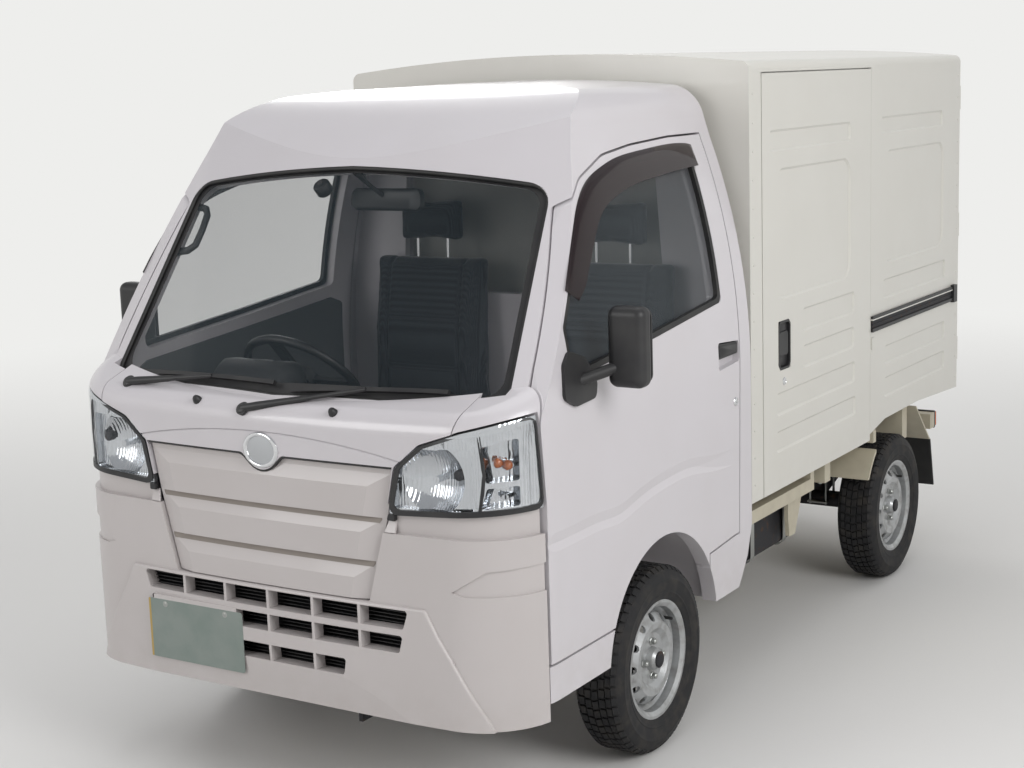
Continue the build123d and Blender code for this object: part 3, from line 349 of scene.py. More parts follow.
def grime(material, colour, dirt, top_mm, strength=0.4, speckle_mm=45):
    """Road film that thickens below a height, over a faint change of shade in the paint."""
    tree = material.node_tree
    height = add(tree, "ShaderNodeSeparateXYZ", {0: own_place(tree)}).outputs["Z"]
    low = stepped(tree, height, top_mm * MM, 150 * MM)
    patches = stepped(tree, pattern(tree, speckle_mm, 7), 0.3, 0.85)
    amount = reckon(tree, "MULTIPLY", reckon(tree, "MULTIPLY", low, patches), strength)
    shade = stepped(tree, pattern(tree, 260, 2), 0.3, 0.7, 0.0, 0.06)
    paint = blended(tree, shade, linear(colour), linear(dirt))
    into(material, "Base Color", blended(tree, amount, paint, linear(dirt)))


# %% [markdown]
# ** Painted steel and plastic.** The cab and box wear a baked enamel. Up close it shows orange
# peel, ripples some 3 mm wide and a few microns deep, which soften every reflection. The box is
# a creamier white than the cab. The moulded bumper and garnish get a less glossy paint in a darker
# white, and the darkness is painted shade, for their front faces turn away from the light.

# %% Painted finishes
PEEL_WIDTH = 3.2
PEEL_DEPTH = 0.03


def enamel(name, colour, dirt, top_mm, roughness, coat):
    """A baked paint with orange peel, whose road film fades out at a height."""
    paint = finish(name, colour, roughness, Coat_Weight=coat, Coat_Roughness=0.08)
    grime(paint, colour, dirt, top_mm)
    rough_skin(paint, PEEL_WIDTH, 1, PEEL_DEPTH, 0.35)
    return paint


cab_enamel = enamel("baked_enamel_white", "#CFCBCF", "#A39B90", 560, 0.34, 0.55)
# Painted shade: the bumper and garnish white is set darker than the cab's to stand for the shade on their
# forward faces
bumper_paint_with_painted_shade = enamel("polypropylene_paint_with_painted_shade", "#C3BDBC", "#988F85", 430, 0.42, 0.3)
box_enamel = enamel("baked_enamel_cream", "#D6D4CD", "#A59D8C", 700, 0.38, 0.4)
chassis_paint = enamel("chassis_enamel", "#C4BDA9", "#6B5B48", 760, 0.5, 0.1)

# %% [markdown]
# **Bare and cast metal.** The axle, arms and engine carry a matt black or grey skin, dusty and
# touched by surface rust, which a cloudy pattern of two sizes gives. The wheels are stamped
# steel under a silver enamel, with brake dust in the hollows.

# %% Metals
def rusty(name, colour, rust, share, roughness, metallic):
    """A metal with rust over a share of it."""
    metal = finish(name, colour, roughness, Metallic=metallic)
    spots = clouded(metal, colour, rust, 22, 8, 1 - share, 1 - share + 0.18)
    into(metal, "Roughness", stepped(metal.node_tree, spots, 0, 1, roughness, 0.85))
    rough_skin(metal, 2.5, 5, 0.25, 0.5)
    return metal


def plated(name, colour, roughness, size_mm, detail, depth_mm, strength):
    """A bare metal skin with a faint relief."""
    metal = finish(name, colour, roughness, Metallic=1.0)
    rough_skin(metal, size_mm, detail, depth_mm, strength)
    return metal


undercoat = rusty("black_chassis_undercoat", "#26262A", "#5C4535", 0.42, 0.62, 0.3)
cast_alloy = rusty("cast_aluminium", "#8C8D8C", "#5B564E", 0.45, 0.5, 0.8)
exhaust_steel = rusty("aluminised_steel", "#77746D", "#6A4A33", 0.5, 0.45, 0.9)
zinc_plate = plated("zinc_plated_steel", "#A9ABA8", 0.34, 1.4, 3, 0.05, 0.4)
chrome = plated("chromed_plastic", "#D9DADC", 0.09, 9, 2, 0.02, 0.25)
satin_plate = plated("satin_plated_plastic", "#B9BBBE", 0.28, 3, 3, 0.05, 0.4)
mirror_glass = plated("silvered_glass", "#C9CED2", 0.03, 60, 1, 0.02, 0.1)

wheel_enamel = finish("silver_wheel_enamel", "#AEB0B1", 0.38, Metallic=0.55, Coat_Weight=0.25)
brake_dust = clouded(wheel_enamel, "#AEB0B1", "#6C665E", 30, 6, 0.45, 0.75, 0.5)
into(wheel_enamel, "Roughness", stepped(wheel_enamel.node_tree, brake_dust, 0, 0.5, 0.34, 0.62))
rough_skin(wheel_enamel, 1.2, 2, 0.03, 0.4)

# %% [markdown]
# **Rubber, plastic and cloth.** Grained ABS scatters light over pits about a millimetre wide,
# tyre rubber is a dull near-black that dust turns brown, and the seat cloth is a dark plain weave.

# %% Rubber, plastic and cloth
def grained(name, colour, grain_mm, depth_mm, roughness):
    """A moulded skin with pits of a given width."""
    plastic = finish(name, colour, roughness)
    tree = plastic.node_tree
    cells = add(tree, "ShaderNodeTexVoronoi", {"Vector": own_place(tree), "Scale": 1 / (grain_mm * MM)})
    relief(plastic, cells.outputs["Distance"], depth_mm, 0.5)
    clouded(plastic, colour, "#6A6863", 90, 3, 0.3, 0.7, 0.12)
    return plastic


black_abs = grained("grained_black_abs", "#1B1B1E", 1.3, 0.06, 0.46)
dash_abs = grained("grained_dash_polypropylene", "#232427", 1.6, 0.09, 0.6)
seal_rubber = grained("epdm_rubber", "#121214", 3.0, 0.04, 0.55)
flap_rubber = grained("mud_flap_rubber", "#1A1A1B", 8.0, 0.2, 0.7)
trim_panel = grained("moulded_trim_grey", "#55585A", 1.5, 0.06, 0.62)

tyre_rubber = finish("tyre_rubber", "#1A1A1C", 0.78)
clouded(tyre_rubber, "#1A1A1C", "#4A443C", 40, 7, 0.45, 0.8, 0.45)
rough_skin(tyre_rubber, 1.6, 4, 0.15, 0.5)

WEAVE_MM = 4.0
# A wave texture has about this many ribs in a metre for each unit of its scale
RIBS_PER_SCALE = pi


def woven(name, dark, light):
    """A plain weave: two crossed sets of ribs, drawn coarser than the real thread so that it shows."""
    cloth = finish(name, dark, 0.9, Sheen_Weight=0.35, Sheen_Roughness=0.4)
    tree = cloth.node_tree
    ribs = [waves(tree, 1 / (WEAVE_MM * MM * RIBS_PER_SCALE), 0.0, direction) for direction in ("X", "Y")]
    weave = reckon(tree, "MULTIPLY", *ribs)
    into(cloth, "Base Color", blended(tree, weave, linear(dark), linear(light)))
    relief(cloth, weave, 0.5, 0.6)
    return cloth


seat_cloth = woven("woven_polyester", "#26272B", "#4A4C52")

# %% [markdown]
# **Glass and lenses.** The windows are laminated or tempered glass with a grey-green tint. A
# dark body that is mostly clear face-on and closes towards grazing angles reads as tinted glass
# from every side, and lets light through to the cab. The lamp's bowl is pressed with upright
# flutes, broken by uneven facets.

# %% Glass and lenses
def clear(name, colour, face_on, edge_on, roughness=0.03):
    """See-through to the first share when seen square on, and to the second at a glancing angle."""
    glass = finish(name, colour, roughness, IOR=1.5)
    tree = glass.node_tree
    slant = add(tree, "ShaderNodeLayerWeight", {"Blend": 0.35}).outputs["Facing"]
    into(glass, "Alpha", stepped(tree, slant, 0.0, 1.0, face_on, edge_on))
    rough_skin(glass, 420, 0, 0.3, 0.08)
    return glass


def ribbed_acrylic(name, colour, roughness, scale):
    """A coloured lens with fine ribs."""
    lens = finish(name, colour, roughness, Coat_Weight=0.6)
    relief(lens, waves(lens.node_tree, scale), 0.4, 0.5)
    return lens


tinted_glass = clear("tinted_window_glass", "#3C484F", 0.08, 0.4)
lamp_glass = clear("clear_polycarbonate", "#A9AEB2", 0.02, 0.16)
visor_acrylic = clear("smoked_acrylic", "#24171A", 0.66, 0.95, 0.06)
tail_red = ribbed_acrylic("red_acrylic", "#7C0E12", 0.14, 60.0)
clear_lens = ribbed_acrylic("frosted_acrylic", "#D9DADA", 0.2, 70.0)
amber_lens = ribbed_acrylic("amber_acrylic", "#C65A12", 0.16, 70.0)

FLUTE_MM = 9.0
reflector = finish("metallised_reflector", "#C9CCD0", 0.08, Metallic=1.0)
flutes = waves(reflector.node_tree, 0.314 / (FLUTE_MM * MM), 1.5)
facets = pattern(reflector.node_tree, 14, 0, (1, 1, 0.5))
relief(reflector, blended(reflector.node_tree, 0.6, flutes, facets), 2.0, 0.8)

amber = finish("amber_bulb_glass", "#C4602A", 0.15, Transmission_Weight=0.5, Coat_Weight=0.5)
clouded(amber, "#B9541F", "#D98345", 5, 2, 0.0, 1.0)
plate_paint = finish("painted_plate_aluminium", "#7F8A84", 0.5)
rough_skin(plate_paint, 4, 2, 0.03, 0.3)
clouded(plate_paint, "#7B8781", "#868F8A", 60, 3, 0.3, 0.7)

# %% Finishes of the carried-over CAD pieces
NODE_FINISHES = [
    (chassis_paint, "frame box_floor wheel_aprons rear_guard"),
    (undercoat, "tow_eyes front_suspension rear_axle propshaft fuel_tank knuckle_left knuckle_right"),
    (cast_alloy, "engine_block"),
    (exhaust_steel, "exhaust"),
    (cab_enamel, "cab_shell cab_floor front_panel cab_door_left cab_door_right"),
    (bumper_paint_with_painted_shade, "front_bumper front_garnish"),
    (reflector, "headlamp_left headlamp_right"),
    (lamp_glass, "headlamp_lens_left headlamp_lens_right"),
    (tinted_glass, "windscreen rear_window door_glass_left door_glass_right"),
    (seat_cloth, "seats"),
    (dash_abs, "dashboard"),
    (black_abs, "wipers slide_rails steering_wheel mirror_left mirror_right"),
    (box_enamel, "box_body slide_door_left slide_door_right rear_door_left rear_door_right"),
    (flap_rubber, "mud_flaps"),
    (tail_red, "tail_lamps"),
    (wheel_enamel, "rim_front_left rim_front_right rim_rear_left rim_rear_right"),
    (tyre_rubber, "tyre_front_left tyre_front_right tyre_rear_left tyre_rear_right"),
]
for material, names in NODE_FINISHES:
    for name in names.split():
        nodes[name].data.materials.clear()
        nodes[name].data.materials.append(material)
print("nodes dressed:", len(nodes))

# %% [markdown]
# ## Shaping helpers
# Most trim is one of four forms: a strip that runs along a path, a plate cut from an outline, a
# turned piece, or a rounded block. Each has one helper that builds it in millimetres. A piece is
# a list of such forms, and ends as a plain mesh whose object sits at the origin.

# %% Shaping helpers
def formed(forms):
    """A bmesh that holds forms, each one a shaping helper and what it needs."""
    bm = bmesh.new()
    for shape, *given in forms:
        shape(bm, *given)
    return bm


def riding(name, mesh, material, body):
    """A mesh in one finish as an object that rides on a body."""
    mesh.materials.clear()
    mesh.materials.append(material)
    obj = new_object(name, mesh)
    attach(obj, body)
    return obj


def piece(name, forms, material, smooth=None, body="chassis"):
    """A piece of the truck from its forms."""
    bm = formed(forms)
    bmesh.ops.remove_doubles(bm, verts=bm.verts, dist=1e-6)
    bmesh.ops.recalc_face_normals(bm, faces=bm.faces)
    return riding(name, mesh_of(name, bm, smooth), material, body)


def loft(bm, rings, caps=True):
    """Join a row of closed rings, each a list of points, with quads."""
    rows = [[bm.verts.new(p) for p in ring] for ring in rings]
    count = len(rows[0])
    for a, b in zip(rows, rows[1:]):
        for i in range(count):
            bm.faces.new((a[i], a[(i + 1) % count], b[(i + 1) % count], b[i]))
    if caps:
        bm.faces.new(rows[0][::-1])
        bm.faces.new(rows[-1])
    return rows


def ring_round(centre, first, second, radius, sides):
    """A circle's points about a centre, in the plane of two unit vectors."""
    angles = [2 * pi * k / sides for k in range(sides)]
    return [centre + (first * cos(a) + second * sin(a)) * radius * MM for a in angles]


def tube(bm, points, radius_mm, sides=10, closed=False):
    """A round bar along points, its rings square to the path."""
    count = len(points)
    rings = []
    lift = Vector(UP)
    for i, p in enumerate(points):
        before = points[i - 1] if i or closed else p
        after = points[(i + 1) % count] if i < count - 1 or closed else p
        along = (after - before).normalized()
        if i == 0 and abs(along.dot(lift)) > 0.9:
            lift = Vector((1, 0, 0))
        first = along.cross(lift).normalized()
        lift = first.cross(along)
        radius = radius_mm[i] if isinstance(radius_mm, list) else radius_mm
        rings.append(ring_round(p, first, lift, radius, sides))
    if closed:
        rings.append(rings[0])
    loft(bm, rings, not closed)


def turned(bm, profile, centre, axis, sides=24, caps=True):
    """A profile of (radius, way along the axis) in millimetres, turned about an axis."""
    along = Vector(axis).normalized()
    first = along.orthogonal().normalized()
    second = along.cross(first)
    return loft(bm, [ring_round(centre + along * way * MM, first, second, radius, sides)
                     for radius, way in profile], caps)


def rounded(outline, radius, steps=4):
    """An outline of 2-D corners with every corner turned into an arc."""
    points = []
    count = len(outline)
    for i in range(count):
        before, corner, after = (Vector(outline[k % count]) for k in (i - 1, i, i + 1))
        first, second = (before - corner).normalized(), (after - corner).normalized()
        half = acos(max(-1, min(1, first.dot(second)))) / 2
        reach = min(radius / tan(half), (before - corner).length * 0.49, (after - corner).length * 0.49)
        size = reach * tan(half)
        middle = corner + (first + second).normalized() * (size / sin(half))
        start, end = corner + first * reach - middle, corner + second * reach - middle
        sweep = start.angle_signed(end)
        for k in range(steps + 1):
            arm = start.copy()
            arm.rotate(Matrix.Rotation(-sweep * k / steps, 2))
            points.append(middle + arm)
    return points


def oblong(x0, x1, z0, z1, radius, steps=4):
    """A rectangle's outline with round corners."""
    return rounded([(x0, z0), (x1, z0), (x1, z1), (x0, z1)], radius, steps)


def block(bm, x0, x1, d0, d1, z0, z1, edge=3.0, steps=2):
    """A box in millimetres with its edges rounded over."""
    low, high = at(min(x0, x1), d0, z0), at(max(x0, x1), d1, z1)
    made = bmesh.ops.create_cube(bm, size=1)
    shape = Matrix.Translation((low + high) / 2) @ Matrix.Diagonal((high - low).to_4d())
    bmesh.ops.transform(bm, matrix=shape, verts=made["verts"])
    edges = list({e for v in made["verts"] for e in v.link_edges})
    bmesh.ops.bevel(bm, geom=edges, offset=edge * MM, segments=steps, affect="EDGES", profile=0.5)


# %% [markdown]
# **Places on the panels.** Trim sits on curved sheet metal. For the nose, a place is the way
# round it from the middle plus a height, so a flat outline wraps round the corner as a lamp's
# does. The cab's side is an arc that leans in, so there a distance and a height are enough.

# %% Places on curved panels
def on_nose(way, z, lift=0.0, side=1):
    """A point on the nose from the way round it, a height and a lift, top edge rounding included."""
    round_corner = max(way - CORNER_X, 0) / CORNER
    distance = front_distance(way) if way <= CORNER_X else CORNER_DISTANCE - CORNER * cos(round_corner)
    bend = GLASS_BASE[1] + COWL_RISE * (distance - GLASS_BASE[0]) - NOSE_RADIUS * sqrt(1 + COWL_RISE**2)
    over = min(max(z - bend, 0), NOSE_RADIUS * 0.95)
    lift -= NOSE_RADIUS - sqrt(NOSE_RADIUS**2 - over**2)
    if way <= CORNER_X:
        return at(side * way, distance - lift, z)
    reach = CORNER + lift
    return at(side * (CORNER_X + reach * sin(round_corner)), CORNER_DISTANCE - reach * cos(round_corner), z)


def on_side(distance, z, lift=0.0, side=1):
    """A point on the cab's side, which leans in above the waist and turns in at the front corner."""
    x = side_x(z)
    if distance < CORNER_DISTANCE:
        x -= HALF_WIDTH - CORNER_X - sqrt(max(CORNER**2 - (CORNER_DISTANCE - distance) ** 2, 0))
    return at(side * (x + lift), distance, z)


# Plates and bands are laid on a panel by a function of a flat point and a lift
def nose(sign):
    """Lays a point on the nose, left or right of its middle."""
    return lambda p, lift: on_nose(p.x, p.y, lift, sign)


def cab_side(sign):
    """Lays a point on a side of the cab."""
    return lambda p, lift: on_side(p.x, p.y, lift, sign)


def box_side(sign):
    """Lays a point on a side of the box."""
    return lambda p, lift: at(sign * (BOX_HALF + lift), p.x, p.y)


def upright(distance):
    """Lays a point on an upright plane across the truck."""
    return lambda p, lift: at(p.x, distance + lift, p.y)


def dense(points, step):
    """Split the long runs of a closed outline, so that it can follow a bend."""
    out = []
    for i, p in enumerate(points):
        q = points[(i + 1) % len(points)]
        parts = max(1, int((q - p).length // step))
        out += [p.lerp(q, k / parts) for k in range(parts)]
    return out


def grown(points, by):
    """A closed outline moved outwards, or inwards when the amount is negative."""
    area = sum(p.x * q.y - p.y * q.x for p, q in zip(points, points[1:] + points[:1]))
    out = []
    for i, p in enumerate(points):
        before, after = points[i - 1], points[(i + 1) % len(points)]
        first, second = (p - before).normalized(), (after - p).normalized()
        normal = Vector((first.y + second.y, -first.x - second.x))
        if normal.length < 1e-6:
            normal = Vector((first.y, -first.x))
        normal = normal.normalized() * (1 if area > 0 else -1)
        out.append(p + normal * by / max(0.5, abs(normal.dot(Vector((first.y, -first.x))))))
    return out


def band(bm, outer, inner, place, low, high):
    """A flat frame between two outlines, wrapped onto a panel by a placing function."""
    rings = [[place(p, low) for p in outer], [place(p, high) for p in outer],
             [place(p, high) for p in inner], [place(p, low) for p in inner]]
    loft(bm, rings + rings[:1], False)


def plate(bm, outline, place, low, high):
    """A plate cut to an outline, wrapped onto a panel, its edge rounded by one small step."""
    shrunk = grown(outline, -min(1.2, (high - low) / 2))
    step = (high - low) * 0.35
    loft(bm, [[place(p, low) for p in outline], [place(p, high - step) for p in outline],
              [place(p, high) for p in shrunk]])


# %% [markdown]
# **Repeats.** Nuts, tread blocks, slats and rivets are the same small shape over and over.
# Two Geometry Nodes trees do all of them: one copies a template round an axle, the other copies
# it along a row. Both end in Realize Instances and Set Material, and are baked to a plain mesh.

# %% Trees that copy a template
def copying_tree(name, ring):
    """Copy the incoming mesh Count times, turned about X or stepped along Step, then moved to Start."""
    tree = bpy.data.node_groups.new(name, "GeometryNodeTree")
    for socket, kind in (("Geometry", "Geometry"), ("Count", "Int"), ("Step", "Vector"), ("Start", "Vector"),
                         ("Material", "Material")):
        tree.interface.new_socket(socket, in_out="INPUT", socket_type="NodeSocket" + kind)
    tree.interface.new_socket("Geometry", in_out="OUTPUT", socket_type="NodeSocketGeometry")
    given = add(tree, "NodeGroupInput").outputs
    points = add(tree, "GeometryNodePoints", {"Count": given["Count"]}).outputs["Points"]
    index = add(tree, "GeometryNodeInputIndex").outputs["Index"]
    scaled = add(tree, "ShaderNodeVectorMath", {0: given["Step"], "Scale": index}, operation="SCALE")
    far = scaled.outputs["Vector"]

    def shifted(instances, way):
        """Move every copy by a way."""
        moves = {"Instances": instances, "Translation": way, "Local Space": False}
        return add(tree, "GeometryNodeTranslateInstances", moves).outputs["Instances"]

    turn_or_move = {"Points": points, "Instance": given["Geometry"]}
    if ring:
        turn_or_move["Rotation"] = far
    copies = add(tree, "GeometryNodeInstanceOnPoints", turn_or_move).outputs["Instances"]
    if not ring:
        copies = shifted(copies, far)
    moved = shifted(copies, given["Start"])
    real = add(tree, "GeometryNodeRealizeInstances", {"Geometry": moved}).outputs["Geometry"]
    dressed = add(tree, "GeometryNodeSetMaterial", {"Geometry": real, "Material": given["Material"]})
    add(tree, "NodeGroupOutput", {0: dressed.outputs["Geometry"]})
    return tree


ROUND_AXLE = copying_tree("copies_round_an_axle", True)
ALONG_ROW = copying_tree("copies_along_a_row", False)


def bake(mesh, tree, count, step, start, material):
    """Run a copying tree on a template mesh and take the result as a plain mesh."""
    template = new_object("template", mesh)
    modifier = template.modifiers.new("copies", "NODES")
    modifier.node_group = tree
    values = {"Count": count, "Step": step, "Start": start, "Material": material}
    for item in tree.interface.items_tree:
        if item.in_out == "INPUT" and item.name in values:
            modifier[item.identifier] = values[item.name]
    evaluated = template.evaluated_get(bpy.context.evaluated_depsgraph_get())
    result = bpy.data.meshes.new_from_object(evaluated)
    bpy.data.objects.remove(template)
    return result


def copies_of(bm, material, tree, runs):
    """A template baked along one or more runs of (count, step, start), joined in one bmesh."""
    bmesh.ops.recalc_face_normals(bm, faces=bm.faces)
    template = mesh_of("template", bm)
    whole = bmesh.new()
    for run in runs:
        baked = bake(template, tree, *run, material)
        whole.from_mesh(baked)
        bpy.data.meshes.remove(baked)
    return whole


def repeated(name, forms, material, tree, runs, smooth=None, body="chassis"):
    """A piece made of copies of a template."""
    mesh = mesh_of(name, copies_of(formed(forms), material, tree, runs), smooth)
    return riding(name, mesh, material, body)


# %% [markdown]
# ## Wheels
# A tyre is a smooth carcass with moulded rings on its sidewall, and a tread of separate blocks
# that sit in five rows. One pitch of the tread is modelled, and the ring tree copies it round.
# The CAD tyre keeps its place in the physics, and the piece stands for it in the picture.

# %% Tyres
TYRE_SIDES = 112
TREAD_PITCHES = 56
TREAD_TURN = 2 * pi / TREAD_PITCHES
TREAD_TOP = 263.8
TREAD_DEPTH = 9
SIDEWALL = [
    (166.5, 56), (168, 59), (172, 61.5), (180, 64.5), (186, 66.6), (187.5, 68.2), (190, 68.6), (191.5, 67.8),
    (200, 70.2), (213, 72.2), (222, 72.3), (223.5, 73.0), (226, 72.8), (227.5, 71.6), (238, 68.8),
    (246, 64.8), (251.5, 60), (255, 54), (256.6, 47),
]
TYRE_PROFILE = SIDEWALL + [(r, -x) for r, x in SIDEWALL[::-1]] + [(160, -50), (160, 50)]
# Blocks and shoulder bars across the tyre: both edges, how far each one leads, height at each edge
TREAD_ROWS = [(a, b, lead, TREAD_TOP, TREAD_TOP) for a, b, lead in (
    (-9, 9, 0), (12.5, 29.5, 5), (-29.5, -12.5, 5), (33, 48, 11), (-48, -33, 11))]
TREAD_ROWS += [(50, 61.5, 15, 262.6, 253.5), (-61.5, -50, 15, 253.5, 262.6)]
BLOCK_SHARE = 0.76
BLOCK_LEAN = 0.011
# The radius, in metres, at which a block's lead is measured
LEAD_RADIUS = 0.26


def tread_pitch(bm):
    """One pitch of the tread about the X axis: five leaning blocks and two shoulder bars."""
    half = TREAD_TURN * BLOCK_SHARE / 2
    for a, b, lead, top_a, top_b in TREAD_ROWS:
        middle = lead * MM / LEAD_RADIUS
        corners = []
        for x, top, ends in ((a, top_a, (-half, half)), (b, top_b, (half, -half))):
            skew = middle + (BLOCK_LEAN if x > 0 else -BLOCK_LEAN)
            corners += [(x, end + skew, top) for end in ends]
        loft(bm, [[Vector((x, sin(angle) * (top - sunk), cos(angle) * (top - sunk))) * MM
                   for x, angle, top in corners] for sunk in (TREAD_DEPTH, 0)])


def tyre(place, centre):
    """A carcass with its rings, plus the tread, as one piece."""
    bm = bmesh.new()
    rows = turned(bm, TYRE_PROFILE, centre, (1, 0, 0), TYRE_SIDES, False)
    for k in range(TYRE_SIDES):
        after = (k + 1) % TYRE_SIDES
        bm.faces.new((rows[0][k], rows[0][after], rows[-1][after], rows[-1][k]))
    bmesh.ops.recalc_face_normals(bm, faces=bm.faces)
    run = (TREAD_PITCHES, (TREAD_TURN, 0, 0), centre)
    bm.from_mesh(mesh_of("tread", copies_of(formed([(tread_pitch,)]), tyre_rubber, ROUND_AXLE, [run])))
    name = f"tyre_tread_{place}"
    obj = riding(name, mesh_of(name, bm, 38), tyre_rubber, f"{place}_wheel")
    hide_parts(f"tyre_{place}")
    return obj


# The wheels: place, which side, and the centre
WHEELS = [(f"{end}_{side}", sign, at(sign * reach, distance, AXLE_HEIGHT))
          for end, reach, distance in (("front", 652.5, FRONT_AXLE), ("rear", 650.0, REAR_AXLE))
          for side, sign in SIDES]
for place, _, centre in WHEELS:
    made = tyre(place, centre)
print("tyre faces:", len(made.data.polygons))

# %% [markdown]
# Four domed nuts hold each wheel, on a circle of 100 mm. A nut is a six-sided turned profile
# with a flange and a rounded top. The valve is a short rubber stem with a cap.

# %% Nuts, valves and hub caps
NUT_CIRCLE = 50.0
DISC_FACE = 36.0
VALVE_RADIUS = 137.0
VALVE_ANGLE = 0.9
NUT = [(0, 0), (11, 0), (11.6, 1.5), (11, 3), (9.6, 4), (9.2, 12), (7.4, 15.5), (4, 17.6), (0, 18)]
HUB_CAP = [(0, 59.5), (17, 59.8), (22.5, 60.6), (23.2, 63.4), (20, 65.6), (10, 66.8), (0, 67)]
for place, sign, centre in WHEELS:
    wheel = f"{place}_wheel"
    outward = Vector((sign, 0, 0))
    foot = Vector((sign * DISC_FACE * MM, 0, NUT_CIRCLE * MM))
    repeated(f"wheel_nuts_{place}", [(turned, NUT, foot, outward, 6)], zinc_plate, ROUND_AXLE,
             [(4, (pi / 2, 0, 0), centre)], 35, wheel)
    stem = centre + Vector((sign * 30, sin(VALVE_ANGLE) * VALVE_RADIUS, cos(VALVE_ANGLE) * VALVE_RADIUS)) * MM
    points = [stem + outward * way * MM for way in (-12, 4, 16, 19)]
    piece(f"valve_{place}", [(tube, points, [5.5, 4.6, 4.2, 3.2], 10)], seal_rubber, 40, wheel)
    piece(f"hub_cap_{place}", [(turned, HUB_CAP, centre, outward, 32)], undercoat, 40, wheel)
print("nuts per wheel: 4")

# %% [markdown]
# ## Front
# A bonded windscreen has a black fired band round its edge, which hides the glue, and a rubber
# moulding in the gap to the body. Both follow the glass, which is bowed across and straight up
# its slope, so the outline is drawn flat and every point is then laid on the glass.

# %% Windscreen band and moulding
GLASS_DEPTH = 12.0
GLASS_OUTLINE = [(-650, 40), (0, 4), (650, 40), (592, 664), (0, 682), (-592, 664)]


def laid_on_glass(p, lift):
    """Lays a point on the windscreen."""
    return on_glass(p.x, p.y, lift)


glass_edge = dense(rounded(GLASS_OUTLINE, 58, 6), 36)
band_inner = [Vector((p.x * 0.955, 44 + (p.y - 4) * 0.92)) for p in glass_edge]
piece("windscreen_band", [
    (band, grown(glass_edge, -1), band_inner, laid_on_glass, -GLASS_DEPTH - 1, -GLASS_DEPTH + 0.6)
], black_abs)
moulding = [laid_on_glass(p, -6.5) for p in grown(glass_edge, -3)]
piece("windscreen_moulding", [(tube, moulding, 6.5, 8, True)], seal_rubber, 60)
print("glass edge points:", len(glass_edge))

# %% [markdown]
# Behind the bumper's openings lies a black duct with close fins. One fin is modelled, and the
# row tree sets the rest out. The plate is left blank: a pressed sheet with a rounded edge, held
# by two hexagon screws, over a border that shows at its left.

# %% Grille duct and fins
repeated("grille_fins", [(block, -447, 447, 42, 62, 478, 480.5, 0.6, 1)], black_abs, ALONG_ROW,
         [(13, (0, 0, 9.5 * MM), (0, 0, 0))])
repeated("lower_grille_fins", [(block, -250, 250, 40, 60, 396, 398.5, 0.6, 1)], black_abs, ALONG_ROW,
         [(6, (0, 0, 9 * MM), (0, 0, 0))])
piece("grille_duct", [(block, -452, 452, 62, 65, 474, 600, 1),
                      (block, -256, 256, 62, 65, 390, 449, 1)], black_abs)

# %% Blank plate and its screws
# The plate is 330 mm wide and 165 mm high
PLATE_OUTLINE = oblong(-420, -90, 349.5, 514.5, 8)
PLATE_FRONT = -0.3
SCREW_HEIGHT = 502


def on_seat(p, lift):
    """Lays a point on the plate's seat in the bumper."""
    return at(p.x, PLATE_FRONT - lift, p.y)


piece("blank_plate", [(plate, PLATE_OUTLINE, on_seat, -1.0, 0)], plate_paint)
yellow_paint = enamel("yellow_plate_paint", "#B59A55", "#7F7460", 600, 0.5, 0.1)
piece("plate_border", [(plate, oblong(-420, -413, 350, 514, 3, 3), on_seat, -0.2, 0.35)], yellow_paint)
screws = []
for x in (-360, -150):
    foot = at(x, PLATE_FRONT, SCREW_HEIGHT)
    screws += [(turned, [(0, -2), (8.5, -2), (8.8, -0.4), (8.2, 0.2), (6.2, 0.3)], foot, AHEAD, 20),
               (turned, [(0, -1), (5.8, -1), (5.8, 0.4), (5.0, 0.85), (0, 0.85)], foot, AHEAD, 6)]
piece("plate_screws", screws, zinc_plate, 35)

# %% [markdown]
# The badge is left bare: a chromed ring round a plain dished disc. The washer nozzles are small
# black wedges on the cowl, and each wiper spindle has a domed cap over its nut.

# %% Bare badge, nozzles and wiper caps
BADGE = at(0, FRONT_FACE, 957)
BADGE_STRETCH = 1.22
BADGE_RING = [(34, -1), (46.5, -1), (46.8, 1.5), (45, 4.4), (42, 5.6), (39, 5.2), (36.6, 3.6), (35.6, 1.2),
              (34, 0.4)]
BADGE_DISC = [(36, 0), (35.9, 1.3), (24, 2.3), (12, 3.0), (0.5, 3.3)]
NOZZLE = [(0, -4), (12, -4), (12.6, 0), (11.6, 3), (9.5, 10), (6.5, 14), (0, 15)]
WIPER_CAP = [(0, -6), (17.5, -6), (18, 0), (16.5, 6), (12, 9), (5, 10.4), (0, 10.6)]


def oval(bm, profile):
    """A turned profile on the badge's place, a little wider than high."""
    turned(bm, profile, BADGE, AHEAD, 64)
    bmesh.ops.scale(bm, vec=(BADGE_STRETCH, 1, 1), space=Matrix.Translation(-BADGE), verts=bm.verts)


piece("badge_ring", [(oval, BADGE_RING)], chrome, 40)
piece("badge_disc", [(oval, BADGE_DISC)], satin_plate, 40)
piece("washer_nozzles", [(turned, NOZZLE, at(x, 29.5, 1066), (0, -0.67, 0.74), 14) for x in (-223, 223)],
      black_abs, 40)
piece("wiper_caps", [(turned, WIPER_CAP, at(*place), (0, -0.45, 0.55), 20)
                     for place in ((-58, 17, 1059), (-500, 67, 1091))], black_abs, 40)

# %% [markdown]
# The joint between the fixed panel and the garnish shows as a black line, because a rubber strip
# fills it. The grooves between the garnish's ribs get a strip of darker paint, which is painted
# shade. Both are thin strips laid along the CAD's own edges, and so are the thicker sleeves on the wiper
# arms.

# %% Joint strip, painted shade in the grooves, corner infills and wiper sleeves
JOINT_HALF = [(398, 944), (300, 944), (200, 944), (100, 944), (76, 943.8), (66, 941), (58, 936), (40, 920),
              (28, 910.7), (14, 905), (0, 903.2)]
RIB_DEPTH = 12.0
INFILL = [Vector(p) for p in ((371, 781), (403, 781), (403, 813), (380, 813))]
INFILL_FOOT = 780
INFILL_LEAN = 0.364
HEEL = [(380, 812), (404, 811), (404, 832), (385, 830)]


